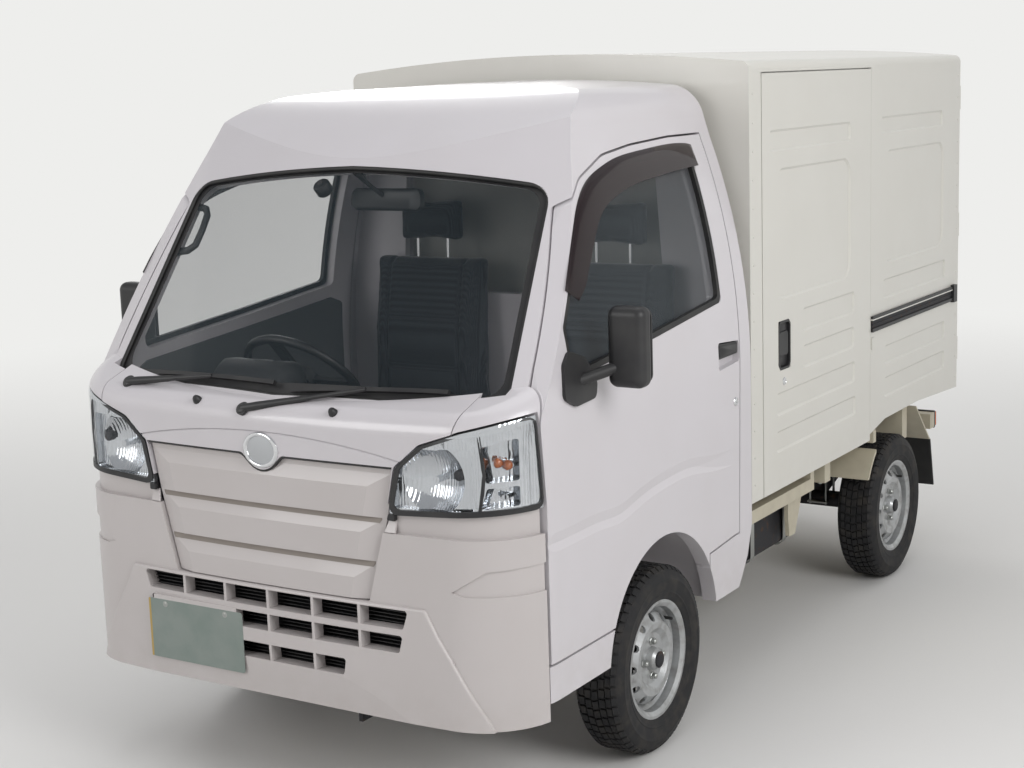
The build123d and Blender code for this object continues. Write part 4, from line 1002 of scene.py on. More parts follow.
def across_nose(x, z, lift):
    """A point on the nose from a signed way round it."""
    return on_nose(abs(x), z, lift, -1 if x < 0 else 1)


def leaning_nose(sign):
    """Lays a point under a lamp's inner corner, where the surface leans back as it rises."""
    return lambda p, lift: on_nose(p.x, p.y, lift - (p.y - INFILL_FOOT) * INFILL_LEAN, sign)


joint = [(-x, z) for x, z in JOINT_HALF] + JOINT_HALF[-2::-1]
piece("garnish_joint_strip", [(tube, [across_nose(x, z, -2.6) for x, z in joint], 3.0, 8)], seal_rubber, 60)

# Painted shade: a darker paint laid in the grooves between the garnish's ribs, where shade falls
groove_shade_paint = enamel("polypropylene_painted_groove_shade", "#8F8780", "#6E655C", 1200, 0.6, 0.0)
grooves = []
for foot, ledge, half in ((814, 809, 360), (701, 695, 335)):
    section = ((0.5, foot, half), (-0.4, foot, half), (-0.4, ledge, half), (-3.6, ledge - 8, half - 6),
               (-2.5, ledge - 8, half - 6))
    grooves.append((loft, [[across_nose(k / 12 * reach, z, -RIB_DEPTH - deep) for deep, z, reach in section]
                           for k in range(-12, 13)]))
piece("garnish_groove_painted_shade", grooves, groove_shade_paint)

infill = dense(INFILL, 12)
heel = dense(rounded(HEEL, 4, 2), 12)
for side, sign in SIDES:
    piece(f"lamp_corner_infill_{side}", [(plate, infill, leaning_nose(sign), -6, -0.3)], bumper_paint_with_painted_shade)
    piece(f"lamp_gasket_heel_{side}", [(plate, heel, nose(sign), -12, 0.2)], black_abs, 50)

sleeves = []
for start, far in ((at(-58, 13, 1060), on_glass(280, 42, 12)), (at(-500, 62, 1092), on_glass(-220, 42, 12))):
    points = [start.lerp(far, t) for t in (0.0, 0.12, 0.3, 0.48, 0.56)]
    sleeves.append((tube, points, [10.5, 11.5, 10, 8.5, 6.5], 10))
piece("wiper_arm_sleeves", sleeves, black_abs, 50)

# %% [markdown]
# ## Headlamps
# A lamp has a black gasket round its lens, a clear cover with fine upright ribs over the
# signal's part, and coloured bulbs in its chambers. The lens outline wraps round the corner, so
# it is drawn by the way round the nose.

# %% Lamp gaskets, covers and bulbs
LAMP_WAY = [(386, 828), (537, 836), (642, 841), (727, 844), (806, 846), (797, 962), (787, 1072), (727, 1067),
            (642, 1053), (590, 1040), (482, 1003), (412, 944)]
DIVIDER = [(632, 843), (640, 843), (655, 940), (642, 1049), (634, 1047), (646, 940)]
BULB = 13.5
SIGNAL_BULB = [(0.4, -BULB), (BULB * 0.7, -BULB * 0.7), (BULB, 0), (BULB * 0.86, BULB * 0.5),
               (BULB * 0.5, BULB * 0.86), (0.4, BULB)]
POSITION_BULB = [(0.4, -9), (6.4, -6.4), (9, 0), (7.6, 4.6), (0.4, 9)]
BULB_SHIELD = [(0, 30), (8, 30), (13.5, 22), (14, 4), (11, 0.8), (5, 0), (0, 0)]
LENS_RIB = ((-3, -3.6), (0, -6.4), (3, -3.6))
RIB_START, RIB_PITCH = 664, 12.5

lamp_edge = dense(rounded(LAMP_WAY, 22, 4), 16)
gasket_inner = [p + Vector((4.5, 4)) for p in grown(lamp_edge, -8.5)]
post = dense(rounded(DIVIDER, 2, 2), 14)
for side, sign in SIDES:
    outward = (sign * 0.6, -1, 0)
    piece(f"lamp_gasket_{side}", [(band, grown(lamp_edge, 1.5), gasket_inner, nose(sign), -2.5, 0.9),
                                  (plate, post, nose(sign), -2.2, 0.5)], black_abs, 50)
    piece(f"signal_bulbs_{side}", [(turned, SIGNAL_BULB, on_nose(way, z, -17, sign), outward, 18)
                                   for way, z in ((686, 967), (713, 960))], amber, 60)
    piece(f"position_bulb_{side}", [(turned, POSITION_BULB, on_nose(700, 884, -14, sign), outward, 16)],
          lamp_glass, 60)
    piece(f"bulb_shield_{side}", [(turned, BULB_SHIELD, at(sign * 577, 45, 937), BACK, 24)], undercoat, 40)
    ribs = []
    for way in (RIB_START + RIB_PITCH * k for k in range(11)):
        heights = (858, 950, 1046 + (way - RIB_START) * 0.13)
        ribs.append((loft, [[on_nose(way + w, z, depth, sign) for w, depth in LENS_RIB] for z in heights]))
    piece(f"lens_ribs_{side}", ribs, lamp_glass)
print("lamp gasket points:", len(lamp_edge))

# %% [markdown]
# ## Cab sides
# A door window sits in a black rubber channel, and a smoked acrylic visor stands off the frame
# above it to let air in when it rains. The visor is one curved strip: its upper edge lies on the
# frame and its lower edge stands out from it.

# %% Window seals and visors
WINDOW = [(330, 1128), (316, 1262), (430, 1438), (505, 1532), (590, 1590), (720, 1626), (860, 1646),
          (1100, 1652), (1214, 1636), (1203, 1214), (800, 1172)]
# The visor's line along the window's front and top edges: distance, height and its own depth there
VISOR_LINE = [(366, 1342, 44), (398, 1390, 48), (452, 1463, 54), (520, 1541, 60), (592, 1589, 62),
              (690, 1619, 62), (800, 1639, 62), (960, 1650, 60), (1100, 1656, 57), (1190, 1654, 52),
              (1232, 1648, 46)]
# Across the visor: the way inwards, in mm above the line and as a share of the depth below it, and the lift
VISOR_SECTION = ((-13, 0.4), (-10, 4.5), (0, 9), (0.5, 15), (1, 19), (1, 16.6), (0.5, 12.6),
                 (0, 6.4), (-9, 1))


def smooth_line(points, steps):
    """A smooth run through points of three numbers each, blended by a cubic rule."""
    out = []
    for i in range(len(points) - 1):
        a, b, c, d = (Vector(points[max(0, min(len(points) - 1, i + k))]) for k in (-1, 0, 1, 2))
        for k in range(steps):
            t = k / steps
            out.append(0.5 * (2 * b + (c - a) * t + (2 * a - 5 * b + 4 * c - d) * t**2
                              + (3 * b - a - 3 * c + d) * t**3))
    return out + [Vector(points[-1])]


window_edge = dense(rounded(WINDOW, 34, 4), 45)
visor_line = smooth_line(VISOR_LINE, 5)
for side, sign in SIDES:
    door = f"{side}_cab_door"
    seal = (band, grown(window_edge, 3), grown(window_edge, -15), cab_side(sign), -15, -1.5)
    piece(f"window_seal_{side}", [seal], seal_rubber, 50, door)
    rings = []
    last = len(visor_line) - 1
    for i, p in enumerate(visor_line):
        along = visor_line[min(i + 1, last)] - visor_line[max(i - 1, 0)]
        inward = Vector((along.y, -along.x)).normalized()
        taper = 0.35 + 0.65 * min(1, i / 4, (last - i) / 3)
        ring = []
        for way, lift in VISOR_SECTION:
            reach = way if way < 0 else p.z * way
            foot = p.to_2d() + inward * reach
            ring.append(on_side(foot.x, foot.y, max(lift * taper, 0.4), sign))
        rings.append(ring)
    piece(f"rain_visor_{side}", [(loft, rings)], visor_acrylic, 35, door)

# %% [markdown]
# The door handle is a black paddle in a pressed cup, with a chromed lock below. The mirror glass
# sits in a thin bezel on the head's rear face.

# %% Handles, locks and mirror glass
MIRROR_FACE = 483
PADDLE = rounded([(1160, 1050), (1291, 1052), (1291, 1087), (1160, 1097)], 9, 4)
PADDLE_GRIP = rounded([(1166, 1056), (1285, 1058), (1285, 1081), (1166, 1090)], 7, 4)
DOOR_LOCK = [(0, -1), (13, -1), (13.6, 1), (12, 3.2), (9.4, 4), (9.0, 3.2), (0, 3.2)]
for side, sign in SIDES:
    door = f"{side}_cab_door"
    piece(f"door_paddle_{side}", [(plate, PADDLE, cab_side(sign), -20, -3),
                                  (plate, PADDLE_GRIP, cab_side(sign), -4, -0.6)], black_abs, 50, door)
    piece(f"door_lock_{side}", [(turned, DOOR_LOCK, on_side(1266, 912, 0, sign), (sign, 0, 0), 24),
                                (block, sign * 741 - 0.9, sign * 741 + 0.9, 1264.8, 1267.2, 907, 917,
                                 0.3, 1)], chrome, 40, door)
    face = dense(oblong(sign * 786, sign * 872, 1110, 1294, 20, 5), 40)
    piece(f"mirror_glass_{side}", [(plate, face, upright(MIRROR_FACE), -1, 1.6)], mirror_glass, 30, door)
    piece(f"mirror_bezel_{side}", [
        (band, grown(face, 3.4), grown(face, -2.4), upright(MIRROR_FACE), -3, 3.4)], black_abs, 50, door)

# %% [markdown]
# ## Box
# The sliding door has a deep black handle and a lock. The rear doors hang on strap hinges and
# close with two galvanised lock rods, whose cams hook into keepers at the top and the foot.
# Nothing of the rear shows in the photograph, so it has only what every such box has.

# %% Side door handles, locks and rail linings
HANDLE = rounded([(1620, 962), (1634, 943), (1702, 943), (1713, 960), (1713, 1082), (1700, 1096),
                  (1632, 1096), (1620, 1078)], 9, 3)
BOX_LOCK = [(0, -6), (11, -6), (12.4, 0.8), (11.4, 2.6), (8.8, 3.4), (8.2, 2.6), (0, 2.6)]
for side, sign in SIDES:
    place = box_side(sign)
    piece(f"box_handle_{side}", [(band, HANDLE, grown(HANDLE, -7), place, -7.8, 2.2),
                                 (plate, grown(HANDLE, -7), place, -7.8, -5.6),
                                 (plate, oblong(1632, 1700, 985, 1062, 12), place, -6, -0.6)], black_abs, 50)
    piece(f"box_lock_{side}", [(turned, BOX_LOCK, at(sign * (BOX_HALF + 1), 1663, 905), (sign, 0, 0), 24)],
          chrome, 40)
    piece(f"rail_lining_{side}", [(block, sign * 722.1, sign * 723.4, 2424, 3289, 962.6, 989.4, 0.4, 1),
                                  (block, sign * 723.2, sign * 725.6, 2424, 3289, 974, 978, 0.6, 1)],
          undercoat)
    piece(f"rail_lips_{side}", [(block, sign * 719.2, sign * 728.4, 2420, 3291, 990.2, 996, 1.2, 1)],
          box_enamel)

# %% Lock rods and handles of the rear doors
ROD_X = 118
HEADER_FOOT = 1852.0
HEADER_RISE = 62.0
HEADER_HALF = 690.0
HEADER_STEPS = 24
HINGE_BOLT = [(0, 0), (6.4, 0), (6.6, 1), (5.4, 1.3), (5.2, 3.6), (4, 4.3), (0, 4.4)]
for side, sign in SIDES:
    door = f"{side}_rear_door"
    x = sign * ROD_X
    rod = [at(x, BOX_REAR + 2.6, z) for z in (640, 1240, 1838)]
    piece(f"lock_rod_{side}", [(tube, rod, 3.0, 12)], zinc_plate, 50, door)
    guides = [(block, x - 14, x + 14, BOX_REAR - 4, BOX_REAR + 5.8, z - 9, z + 9, 1.8)
              for z in (700, 1010, 1370, 1700)]
    guides += [(block, x - 11, x + 11, BOX_REAR - 4, BOX_REAR + 5.8, z, z + 24, 2) for z in (622, 1832)]
    piece(f"rod_guides_{side}", guides, zinc_plate, 50, door)
    piece(f"rod_lever_{side}", [(block, x - 9, x + 9, BOX_REAR - 4, BOX_REAR + 5.9, 1064, 1096, 2),
                                (block, x, x + sign * 175, BOX_REAR + 0.4, BOX_REAR + 5.6, 1074, 1087,
                                 2.2, 3)], zinc_plate, 50, door)
    edge = rounded([(sign * 7, 609), (sign * 705, 609), (sign * 705, 1866), (sign * 7, 1868)], 14, 3)
    piece(f"rear_door_seal_{side}", [(band, edge, grown(edge, -8), upright(BOX_REAR - 42), -2, 2.5)],
          seal_rubber, 50, door)
    straps = [(block, sign * 612, sign * 700, BOX_REAR - 2, BOX_REAR + 3.2, z - 19, z + 19, 1.4)
              for z in (750, 1240, 1730)]
    piece(f"hinge_straps_{side}", straps, zinc_plate, 50, door)
    runs = [(2, (0, 0, 24 * MM), (sign * x * MM, 0, z * MM)) for z in (738, 1228, 1718) for x in (628, 656)]
    repeated(f"hinge_bolts_{side}", [(turned, HINGE_BOLT, at(0, BOX_REAR + 1.4, 0), BACK, 8)], zinc_plate,
             ALONG_ROW, runs, 40, door)

# %% Header above the rear doors
turns = [pi * k / HEADER_STEPS for k in range(HEADER_STEPS + 1)]
arch = [Vector((HEADER_HALF * cos(a), HEADER_FOOT + HEADER_RISE * sin(a))) for a in turns]
piece("rear_header", [(plate, arch, upright(BOX_REAR - 62), 0, 14)], box_enamel, 30)

# %% [markdown]
# The tail lamps are moulded boxes with three lens fields, red, amber and clear, over a black
# base. Rivets hold the box's corner rails, and the row tree sets them out.

# %% Tail lamps and rivets
LAMP_FIELDS = [("tail_lens_stop", tail_red, 470, 536), ("tail_lens_reverse", clear_lens, 538.5, 582.5),
               ("tail_lens_signal", amber_lens, 585, 640)]
RIVET = [(0, -0.4), (4.6, -0.4), (4.2, 1.0), (2.6, 1.9), (0, 2.2)]
for side, sign in SIDES:
    made = piece(f"tail_lamp_base_{side}", [(block, sign * 466, sign * 640, 3351, 3366, 425, 495, 4, 3)],
                 black_abs, 50)
    if sign > 0:
        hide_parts("tail_lamps")
    for name, material, x0, x1 in LAMP_FIELDS:
        low, high = sorted((sign * x0, sign * x1))
        piece(f"{name}_{side}", [(block, low + 3, high - 1, 3364, 3384.5, 430, 490, 6, 4)], material, 50)
for side, sign in SIDES:
    runs = [(15, (0, 0, 84 * MM), at(sign * BOX_HALF, d, z)) for d, z in ((BOX_FRONT + 24, 620), (3352, 640))]
    repeated(f"corner_rivets_{side}", [(turned, RIVET, ORIGIN, (sign, 0, 0), 8)],
             box_enamel, ALONG_ROW, runs, 50)
print("box trim done")

# %% [markdown]
# ## Seats
# A seat cushion is foam under a sewn cover: it swells where nothing holds it and dips along its
# seams. Each starts as a rounded block a little smaller than the real one, is remeshed evenly,
# blown up a little by the cloth solver, and then has its seams pressed in. The left seat is
# made, and the right one is its mirror image.

# %% Cushion helper
CUSHION_VOXEL = 6.0
CUSHION_FRAMES = 20
COVER_PRESSURE = 4.0
COVER_STIFFNESS = 18


def block_form(name, rings, bevel):
    """A closed form through a few square rings, its edges rounded before it is remeshed."""
    bm = formed([(loft, rings)])
    bmesh.ops.recalc_face_normals(bm, faces=bm.faces)
    bmesh.ops.bevel(bm, geom=list(bm.edges), offset=bevel * MM, segments=3, affect="EDGES", profile=0.6)
    return new_object(name, mesh_of(name, bm))


def plain_mesh(obj):
    """Work the object's modifiers into its mesh and remove them."""
    evaluated = obj.evaluated_get(bpy.context.evaluated_depsgraph_get())
    mesh = bpy.data.meshes.new_from_object(evaluated)
    obj.modifiers.clear()
    obj.data = mesh


def inflate(obj, cap_mm, base):
    """Blow the cover up with the cloth solver, hold each point within a cap and keep the base flat."""
    start = [v.co.copy() for v in obj.data.vertices]
    cloth = obj.modifiers.new("cover", "CLOTH")
    cloth.settings.use_pressure = True
    cloth.settings.uniform_pressure_force = COVER_PRESSURE
    cloth.settings.tension_stiffness = COVER_STIFFNESS
    cloth.settings.compression_stiffness = COVER_STIFFNESS
    cloth.settings.effector_weights.gravity = 0
    cloth.point_cache.frame_start = 1
    cloth.point_cache.frame_end = CUSHION_FRAMES
    for frame_number in range(1, CUSHION_FRAMES + 1):
        bpy.context.scene.frame_set(frame_number)
    plain_mesh(obj)
    bpy.context.scene.frame_set(1)
    for vertex, home in zip(obj.data.vertices, start):
        move = vertex.co - home
        if move.length > cap_mm * MM:
            vertex.co = home + move.normalized() * cap_mm * MM
        if base is not None and vertex.co.z < base * MM:
            vertex.co.z = base * MM


def cushion(name, rings, bevel, cap_mm, seams, base=None):
    """A padded piece: seams are (function of a place in mm, depth, half width), pressed in last."""
    obj = block_form(name, rings, bevel)
    remesh = obj.modifiers.new("even", "REMESH")
    remesh.mode = "VOXEL"
    remesh.voxel_size = CUSHION_VOXEL * MM
    plain_mesh(obj)
    inflate(obj, cap_mm, base)
    normals = [v.normal.copy() for v in obj.data.vertices]
    for vertex, normal in zip(obj.data.vertices, normals):
        place = (vertex.co - at(0, 0, 0)) / MM
        for gap, depth, half in seams:
            away = gap(place)
            if abs(away) < half * 3:
                vertex.co -= normal * depth * MM * exp(-((away / half) ** 2))
    obj.data.shade_smooth()
    return obj


def mirror_piece(obj, name):
    """A mirrored copy whose faces still point outwards."""
    bm = bmesh.new()
    bm.from_mesh(obj.data)
    for vertex in bm.verts:
        vertex.co.x *= -1
    bmesh.ops.reverse_faces(bm, faces=bm.faces)
    copy = new_object(name, mesh_of(name, bm))
    copy.data.shade_smooth()
    return copy


# %% Seat cushions, backs and rests
SEAT_X = 330.0
SEAM_X = 138
NO_SEAM = 99
SEAT_BASE = [(768, 684), (1196, 684), (1192, 800), (1140, 812), (800, 822), (768, 800)]
SEAT_BACK = [(1204, 834), (1300, 838), (1308, 1080), (1314, 1316), (1256, 1318), (1212, 1080)]
SEAT_REST = [(1262, 1362), (1308, 1362), (1312, 1488), (1268, 1488)]


def ring_at(half, corners):
    """A section's (distance, height) corners at the seat's two sides."""
    return [[at(x, d, z) for d, z in corners] for x in (SEAT_X - half, SEAT_X + half)]


def side_seam(place):
    """How far a place is from the two lengthwise seams."""
    return abs(place.x - SEAT_X) - SEAM_X


def back_seam(z):
    """A seam across the back's front face, at a height."""
    return lambda place: place.z - z if abs(place.x - SEAT_X) < SEAM_X and place.y < 1260 else NO_SEAM


def base_seam(distance):
    """A seam across the cushion's top, at a distance."""
    return lambda place: place.y - distance if abs(place.x - SEAT_X) < SEAM_X and place.z > 800 else NO_SEAM


def piping(z):
    """A seam all round, at a height."""
    return lambda place: place.z - z


SEAT_PARTS = [
    ("seat_cushion", ring_at(216, SEAT_BASE), 26, 14,
     [(side_seam, 7, 6), (base_seam(850), 6, 6), (base_seam(1010), 6, 6), (piping(792), 3, 4)], 681),
    ("seat_back", ring_at(210, SEAT_BACK), 24, 13,
     [(side_seam, 7, 6), (back_seam(960), 6, 6), (back_seam(1120), 6, 6)], None),
    ("head_rest", ring_at(112, SEAT_REST), 16, 8, [(piping(1470), 2.5, 4)], None),
]
seat_pieces = []
for name, rings, bevel, cap, seams, base in SEAT_PARTS:
    left = cushion(f"{name}_left", rings, bevel, cap, seams, base)
    for obj in (left, mirror_piece(left, f"{name}_right")):
        obj.data.materials.clear()
        obj.data.materials.append(seat_cloth)
        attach(obj, "chassis")
        seat_pieces.append(obj)
    print(name, "faces", len(left.data.polygons))
for obj in seat_pieces:
    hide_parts("seats")

posts = []
for side, sign in SIDES:
    for x in (sign * SEAT_X - 58, sign * SEAT_X + 58):
        posts.append((tube, [at(x, 1286, 1290), at(x, 1286, 1330), at(x, 1288, 1380)], 5.5, 10))
piece("head_rest_posts", posts, chrome, 50)

# %% [markdown]
# ## Cab interior
# The dashboard carries a hooded instrument pod, four vents with slats, a blank radio and a
# glovebox lid. The column has a shroud. The pod, vent frames and shroud are grained
# polypropylene, the slats, radio and dial rings black ABS and the lid a grey moulding, and
# the dials are left plain.

# %% Dashboard pieces
WHEEL_X = -330
VENTS = (-590, -92, 92, 590)
KNOB = [(0, 0), (15, 0), (14, 9), (12, 12), (0, 12)]
rings = []
for d, top, half in ((322, 1062, 120), (350, 1092, 140), (392, 1108, 150), (432, 1104, 152),
                     (446, 1092, 146)):
    outline = rounded([(WHEEL_X - half, 985), (WHEEL_X + half, 985), (WHEEL_X + half * 0.86, top),
                       (WHEEL_X - half * 0.86, top)], 30, 4)
    rings.append([at(p.x, d, p.y) for p in outline])
piece("instrument_hood", [(loft, rings)], dash_abs, 45)
piece("dial_rings", [(turned, [(0, 0), (r, 0), (r, 4), (r - 3, 5), (r - 4, 2), (0, 2)],
                      at(x, 445.6, 1042), (0, 1, 0.12), 32) for x, r in ((-392, 34), (-308, 46), (-236, 26))],
      black_abs, 40)
repeated("vent_slats", [(block, -46, 46, 436, 458, -0.9, 0.9, 0.5, 1)], black_abs, ALONG_ROW,
         [(6, (0, 0, 9.5 * MM), (x * MM, 0, 942 * MM)) for x in VENTS])
frames = []
for x in VENTS:
    outline = oblong(x - 54, x + 54, 934, 998, 8, 3)
    frames.append((band, outline, grown(outline, -7), upright(450), -14, 7))
piece("vent_frames", frames, dash_abs, 40)
knobs = [(turned, KNOB, at(x, 441, 836), (0, 1, 0.1), 20) for x in (-60, 0, 60)]
piece("centre_panel", [(block, -92, 92, 436, 452, 862, 916, 4, 3)] + knobs, black_abs, 40)


def on_dash(p, lift):
    """A place on the dashboard's lower face, which leans back as it rises."""
    return at(p.x, 444 + lift + (p.y - 885) * 0.07, p.y)


lid = dense(rounded([(190, 846), (520, 846), (528, 924), (182, 924)], 14, 4), 60)
piece("glovebox_lid", [(plate, lid, on_dash, -2, 4)], trim_panel, 40)
rings = []
for share, wide, high in ((0, 46, 34), (0.15, 56, 44), (0.6, 58, 46), (0.92, 52, 42), (1, 44, 34)):
    d, z = 400 + share * 150, 846 + share * 132
    outline = oblong(-wide, wide, -high, high, 20)
    rings.append([at(WHEEL_X + p.x, d - p.y * 0.68, z + p.y * 0.73) for p in outline])
piece("column_shroud", [(loft, rings)], dash_abs, 45)
stalks = []
for sign in (-1, 1):
    points = [at(WHEEL_X + sign * out, d, z)
              for out, d, z in ((40, 528, 968), (110, 548, 976), (168, 556, 984))]
    stalks.append((tube, points, [6, 5, 8], 10))
piece("column_stalks", stalks, black_abs, 50)

# %% Lever, handbrake, pedals and mats
LEVER_KNOB = [(0, -22), (10, -20), (18, -6), (21, 8), (17, 20), (8, 26), (0, 27)]
LEVER_BOOT = [(0, 0), (44, 0), (40, 14), (27, 34), (16, 48), (0, 48)]
lever = [at(-60, d, z) for d, z in ((640, 682), (632, 760), (626, 850), (622, 888))]
piece("gear_lever", [(tube, lever, [8, 6.5, 6, 6], 12)], zinc_plate, 50)
piece("gear_knob_and_boot", [(turned, LEVER_KNOB, at(-60, 622, 896), UP, 24),
                             (turned, LEVER_BOOT, at(-60, 640, 680), UP, 20)], seal_rubber, 50)
piece("handbrake", [(tube, [at(40, 1010, 690), at(40, 920, 740), at(40, 850, 772)], [9, 9, 12], 12),
                    (tube, [at(40, 850, 772), at(40, 800, 794), at(40, 792, 797)], [13, 14, 8], 12)],
      black_abs, 50)
pedals = []
for x, wide, z in ((-222, 34, 520), (-330, 38, 528), (-430, 36, 528)):
    pedals += [(tube, [at(x, 210, 690), at(x, 262, 600), at(x, 286, z + 20)], 6, 8),
               (block, x - wide, x + wide, 282, 292, z - 26, z + 30, 4)]
piece("pedals", pedals, seal_rubber, 50)
piece("floor_mats", [(block, x - 240, x + 230, 250, 430, 432.5, 438, 2.4) for x in (-330, 330)],
      flap_rubber, 40)
repeated("mat_ribs", [(block, -225, 225, -2.4, 2.4, 437.6, 440.4, 0.8, 1)], flap_rubber, ALONG_ROW,
         [(11, (0, 16 * MM, 0), (x * MM, 260 * MM, 0)) for x in (-335, 335)])

# %% [markdown]
# Round the glass hang two padded sun visors, the mirror on its stalk, a small blank camera box
# and, on the driver's pillar, a grab handle. The doors are lined with a moulded panel that has an
# armrest and a window crank.

# %% Round the windscreen
MIRROR_LEAN = Matrix.Rotation(radians(-8), 3, "X")
MIRROR_MIDDLE = at(40, 545, 1550)
MIRROR_OUTLINE = rounded([(-125, -30), (125, -30), (116, 31), (-116, 31)], 22, 5)
CAMERA_BOX = [(0, -12), (21, -12), (24, -8), (24, 16), (20, 21), (0, 21)]
CAMERA_LENS_RING = [(0, 0), (8, 0), (9, 3), (7, 5), (0, 5)]
GRAB_LINE = [(-620, 402, 1404), (-573, 407, 1409), (-552, 418, 1424), (-545, 443, 1466), (-543, 466, 1506),
             (-557, 478, 1522), (-603, 484, 1530)]


def folded_up(p, lift):
    """A place on a sun visor that is folded up against the header: x, the way back along it, a lift."""
    return at(p.x, 500 + p.x**2 / 6600 + p.y * 0.8, 1640 + p.y * 0.58 + lift)


def mirror_rings(sections):
    """Rings of the cab mirror's outline: each section is a depth and a scale."""
    return [[MIRROR_MIDDLE + MIRROR_LEAN @ Vector((p.x * s, d, p.y * s)) * MM for p in MIRROR_OUTLINE]
            for d, s in sections]


for side, sign in SIDES:
    corners = [(sign * x, y) for x, y in ((90, 0), (490, 0), (478, 140), (90, 150))]
    outline = dense(rounded(corners, 18, 4), 50)
    piece(f"sun_visor_{side}", [(plate, outline, folded_up, 0, 14)], trim_panel, 40)
piece("mirror_stalk", [(tube, [at(0, 462, 1632), at(14, 492, 1598), at(34, 532, 1562)], [12, 6, 6], 12)],
      black_abs, 50)
piece("cab_mirror", [(loft, mirror_rings(((-16, 0.78), (-10, 0.96), (0, 1), (6, 1), (8, 0.96))))],
      black_abs, 40)
piece("cab_mirror_glass", [(loft, mirror_rings(((7.5, 0.94), (9, 0.94), (9.4, 0.92))))], mirror_glass, 30)
middle = on_glass(-112, 636, -GLASS_DEPTH - 21)
piece("screen_camera", [
    (turned, CAMERA_BOX, middle, (0.05, 0.6, -0.7), 24),
    (turned, CAMERA_LENS_RING, middle + Vector((0, -0.008, 0.012)), (0, -0.7, 0.4), 18)], black_abs, 45)
piece("grab_handle", [(tube, [at(*p) for p in GRAB_LINE], [12, 10.5, 10, 9.5, 10, 10.5, 12], 12)],
      black_abs, 50)

# %% Door linings
LINING = [(262, 540), (262, 1060), (330, 1096), (800, 1136), (1190, 1172), (1250, 1150),
          (1262, 560), (1180, 520), (1100, 520), (1090, 628), (1000, 668), (700, 668),
          (560, 640), (500, 560), (480, 520), (300, 520)]
LINING_DEPTH = 46


def inner_side(sign):
    """Lays a point on the inner face of a cab door."""
    return lambda p, lift: at(sign * (min(side_x(p.y), HALF_WIDTH) - LINING_DEPTH - lift), p.x, p.y)


lining = dense(rounded(LINING, 16, 3), 70)
for side, sign in SIDES:
    door = f"{side}_cab_door"
    inward = (-sign, 0, 0)
    piece(f"door_lining_{side}", [(plate, lining, inner_side(sign), -0.5, 4.5)], trim_panel, 40, door)
    piece(f"arm_rest_{side}", [(block, sign * 655, sign * 690, 640, 960, 800, 838, 10, 4)],
          dash_abs, 50, door)
    arm = [at(sign * x, d, z) for x, d, z in ((680, 560, 810), (674, 600, 842), (670, 640, 872))]
    piece(f"window_crank_{side}", [
        (turned, [(0, -4), (24, -4), (24, 2), (20, 6), (0, 6)], at(sign * 688, 560, 810), inward, 24),
        (tube, arm, [7, 6, 7], 10),
        (turned, [(0, 0), (9, 1), (10, 14), (8, 22), (0, 23)], at(sign * 672, 640, 872), inward, 14)],
        black_abs, 50, door)

# %% [markdown]
# ## Under the truck
# A coil spring stands round each front strut. At the back, U-bolts clamp the leaf springs to the
# axle and shackles carry their ends. The tank hangs in two straps and the exhaust in its clamps.

# %% Springs, bolts and straps
STRUT_LOW, STRUT_HIGH = (612.0, 160.0), (500.0, 700.0)
COIL_RADIUS = 52
COIL_TURNS = 6.5
COIL_STEPS = 16
SPRING_X = 425
U_BOLT = ((394, 250), (394, 336), (400, 344), (450, 344), (456, 336), (456, 250))
SHACKLE_PIN = [(0, -36), (9, -36), (9, 36), (0, 36)]
FRAME_BOLT = [(0, 0), (11, 0), (11, 2), (8.6, 2.2), (8.2, 8), (6.4, 9.4), (0, 9.6)]


def strut_x(z):
    """How far out the strut's axis lies at a height."""
    return STRUT_LOW[0] + (STRUT_HIGH[0] - STRUT_LOW[0]) * (z - STRUT_LOW[1]) / (STRUT_HIGH[1] - STRUT_LOW[1])


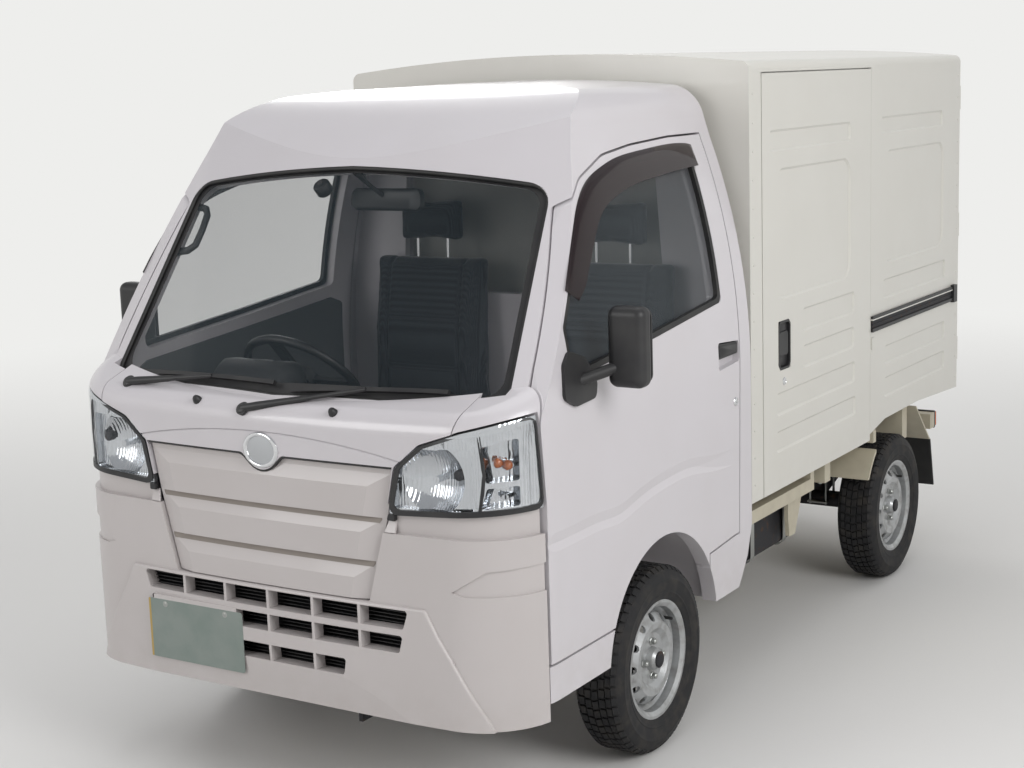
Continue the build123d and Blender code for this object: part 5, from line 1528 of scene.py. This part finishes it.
for side, sign in SIDES:
    knuckle = f"{side}_knuckle"
    points = []
    count = int(COIL_TURNS * COIL_STEPS)
    for k in range(count + 1):
        z = 405 + 225 * k / count
        out, along = (COIL_RADIUS * f(2 * pi * k / COIL_STEPS) for f in (cos, sin))
        points.append(at(sign * (strut_x(z) + out), FRONT_AXLE + along, z + out * 0.2))
    piece(f"front_coil_{side}", [(tube, points, 6, 8)], undercoat, 60, knuckle)
    piece(f"spring_seats_{side}", [
        (turned, [(20, -3), (62, -3), (64, 0), (62, 3), (20, 3)], at(sign * strut_x(z), FRONT_AXLE, z),
         (-sign * 0.2, 0, 1), 28) for z in (398, 636)], undercoat, 40, knuckle)

u_bolts = []
shackles = []
for sign in (-1, 1):
    for d in (2664, 2740):
        u_bolts.append((tube, [at(sign * x, d, z) for x, z in U_BOLT], 5, 8))
    u_bolts.append((block, sign * 386, sign * 464, 2650, 2754, 254, 262, 2))
    for d, z in ((2224, 414), (3180, 424)):
        for x in (sign * SPRING_X - 30, sign * SPRING_X + 30):
            shackles.append((block, x - 3, x + 3, d - 14, d + 14, z - 16, z + 46))
        shackles.append((turned, SHACKLE_PIN, at(sign * SPRING_X, d, z), (1, 0, 0), 14))
piece("spring_u_bolts", u_bolts, zinc_plate, 50)
piece("spring_shackles", shackles, undercoat, 50)
tank = oblong(349, 593, 292.5, 443, 26)
piece("tank_straps", [(band, grown(tank, 2.5), grown(tank, 0.4), upright(d), -14, 14) for d in (1690, 1950)],
      zinc_plate, 50)
clamps = []
for d, r, z in ((1340, 19, 328.5), (1960, 19, 302), (2030, 56, 300), (2390, 56, 300)):
    clamps += [(turned, [(r, -9), (r + 3, -9), (r + 3, 9), (r, 9)], at(-200, d, z), BACK, 28),
               (block, -206, -194, d - 5, d + 5, z + r, z + r + 22, 2)]
piece("exhaust_clamps", clamps, zinc_plate, 50)
runs = [(1, (0, 0, 0), at(x, d, 470)) for x in (-640, 640) for d in (1480, 2150, 2920)]
runs += [(2, (80 * MM, 0, 0), at(x, d, z)) for d, z in ((1400, 380), (2050, 385), (3270, 430))
         for x in (-220, 140)]
repeated("frame_bolts", [(turned, FRAME_BOLT, ORIGIN, (0, 0, -1), 6)], zinc_plate, ALONG_ROW, runs, 35)
print("underside done")
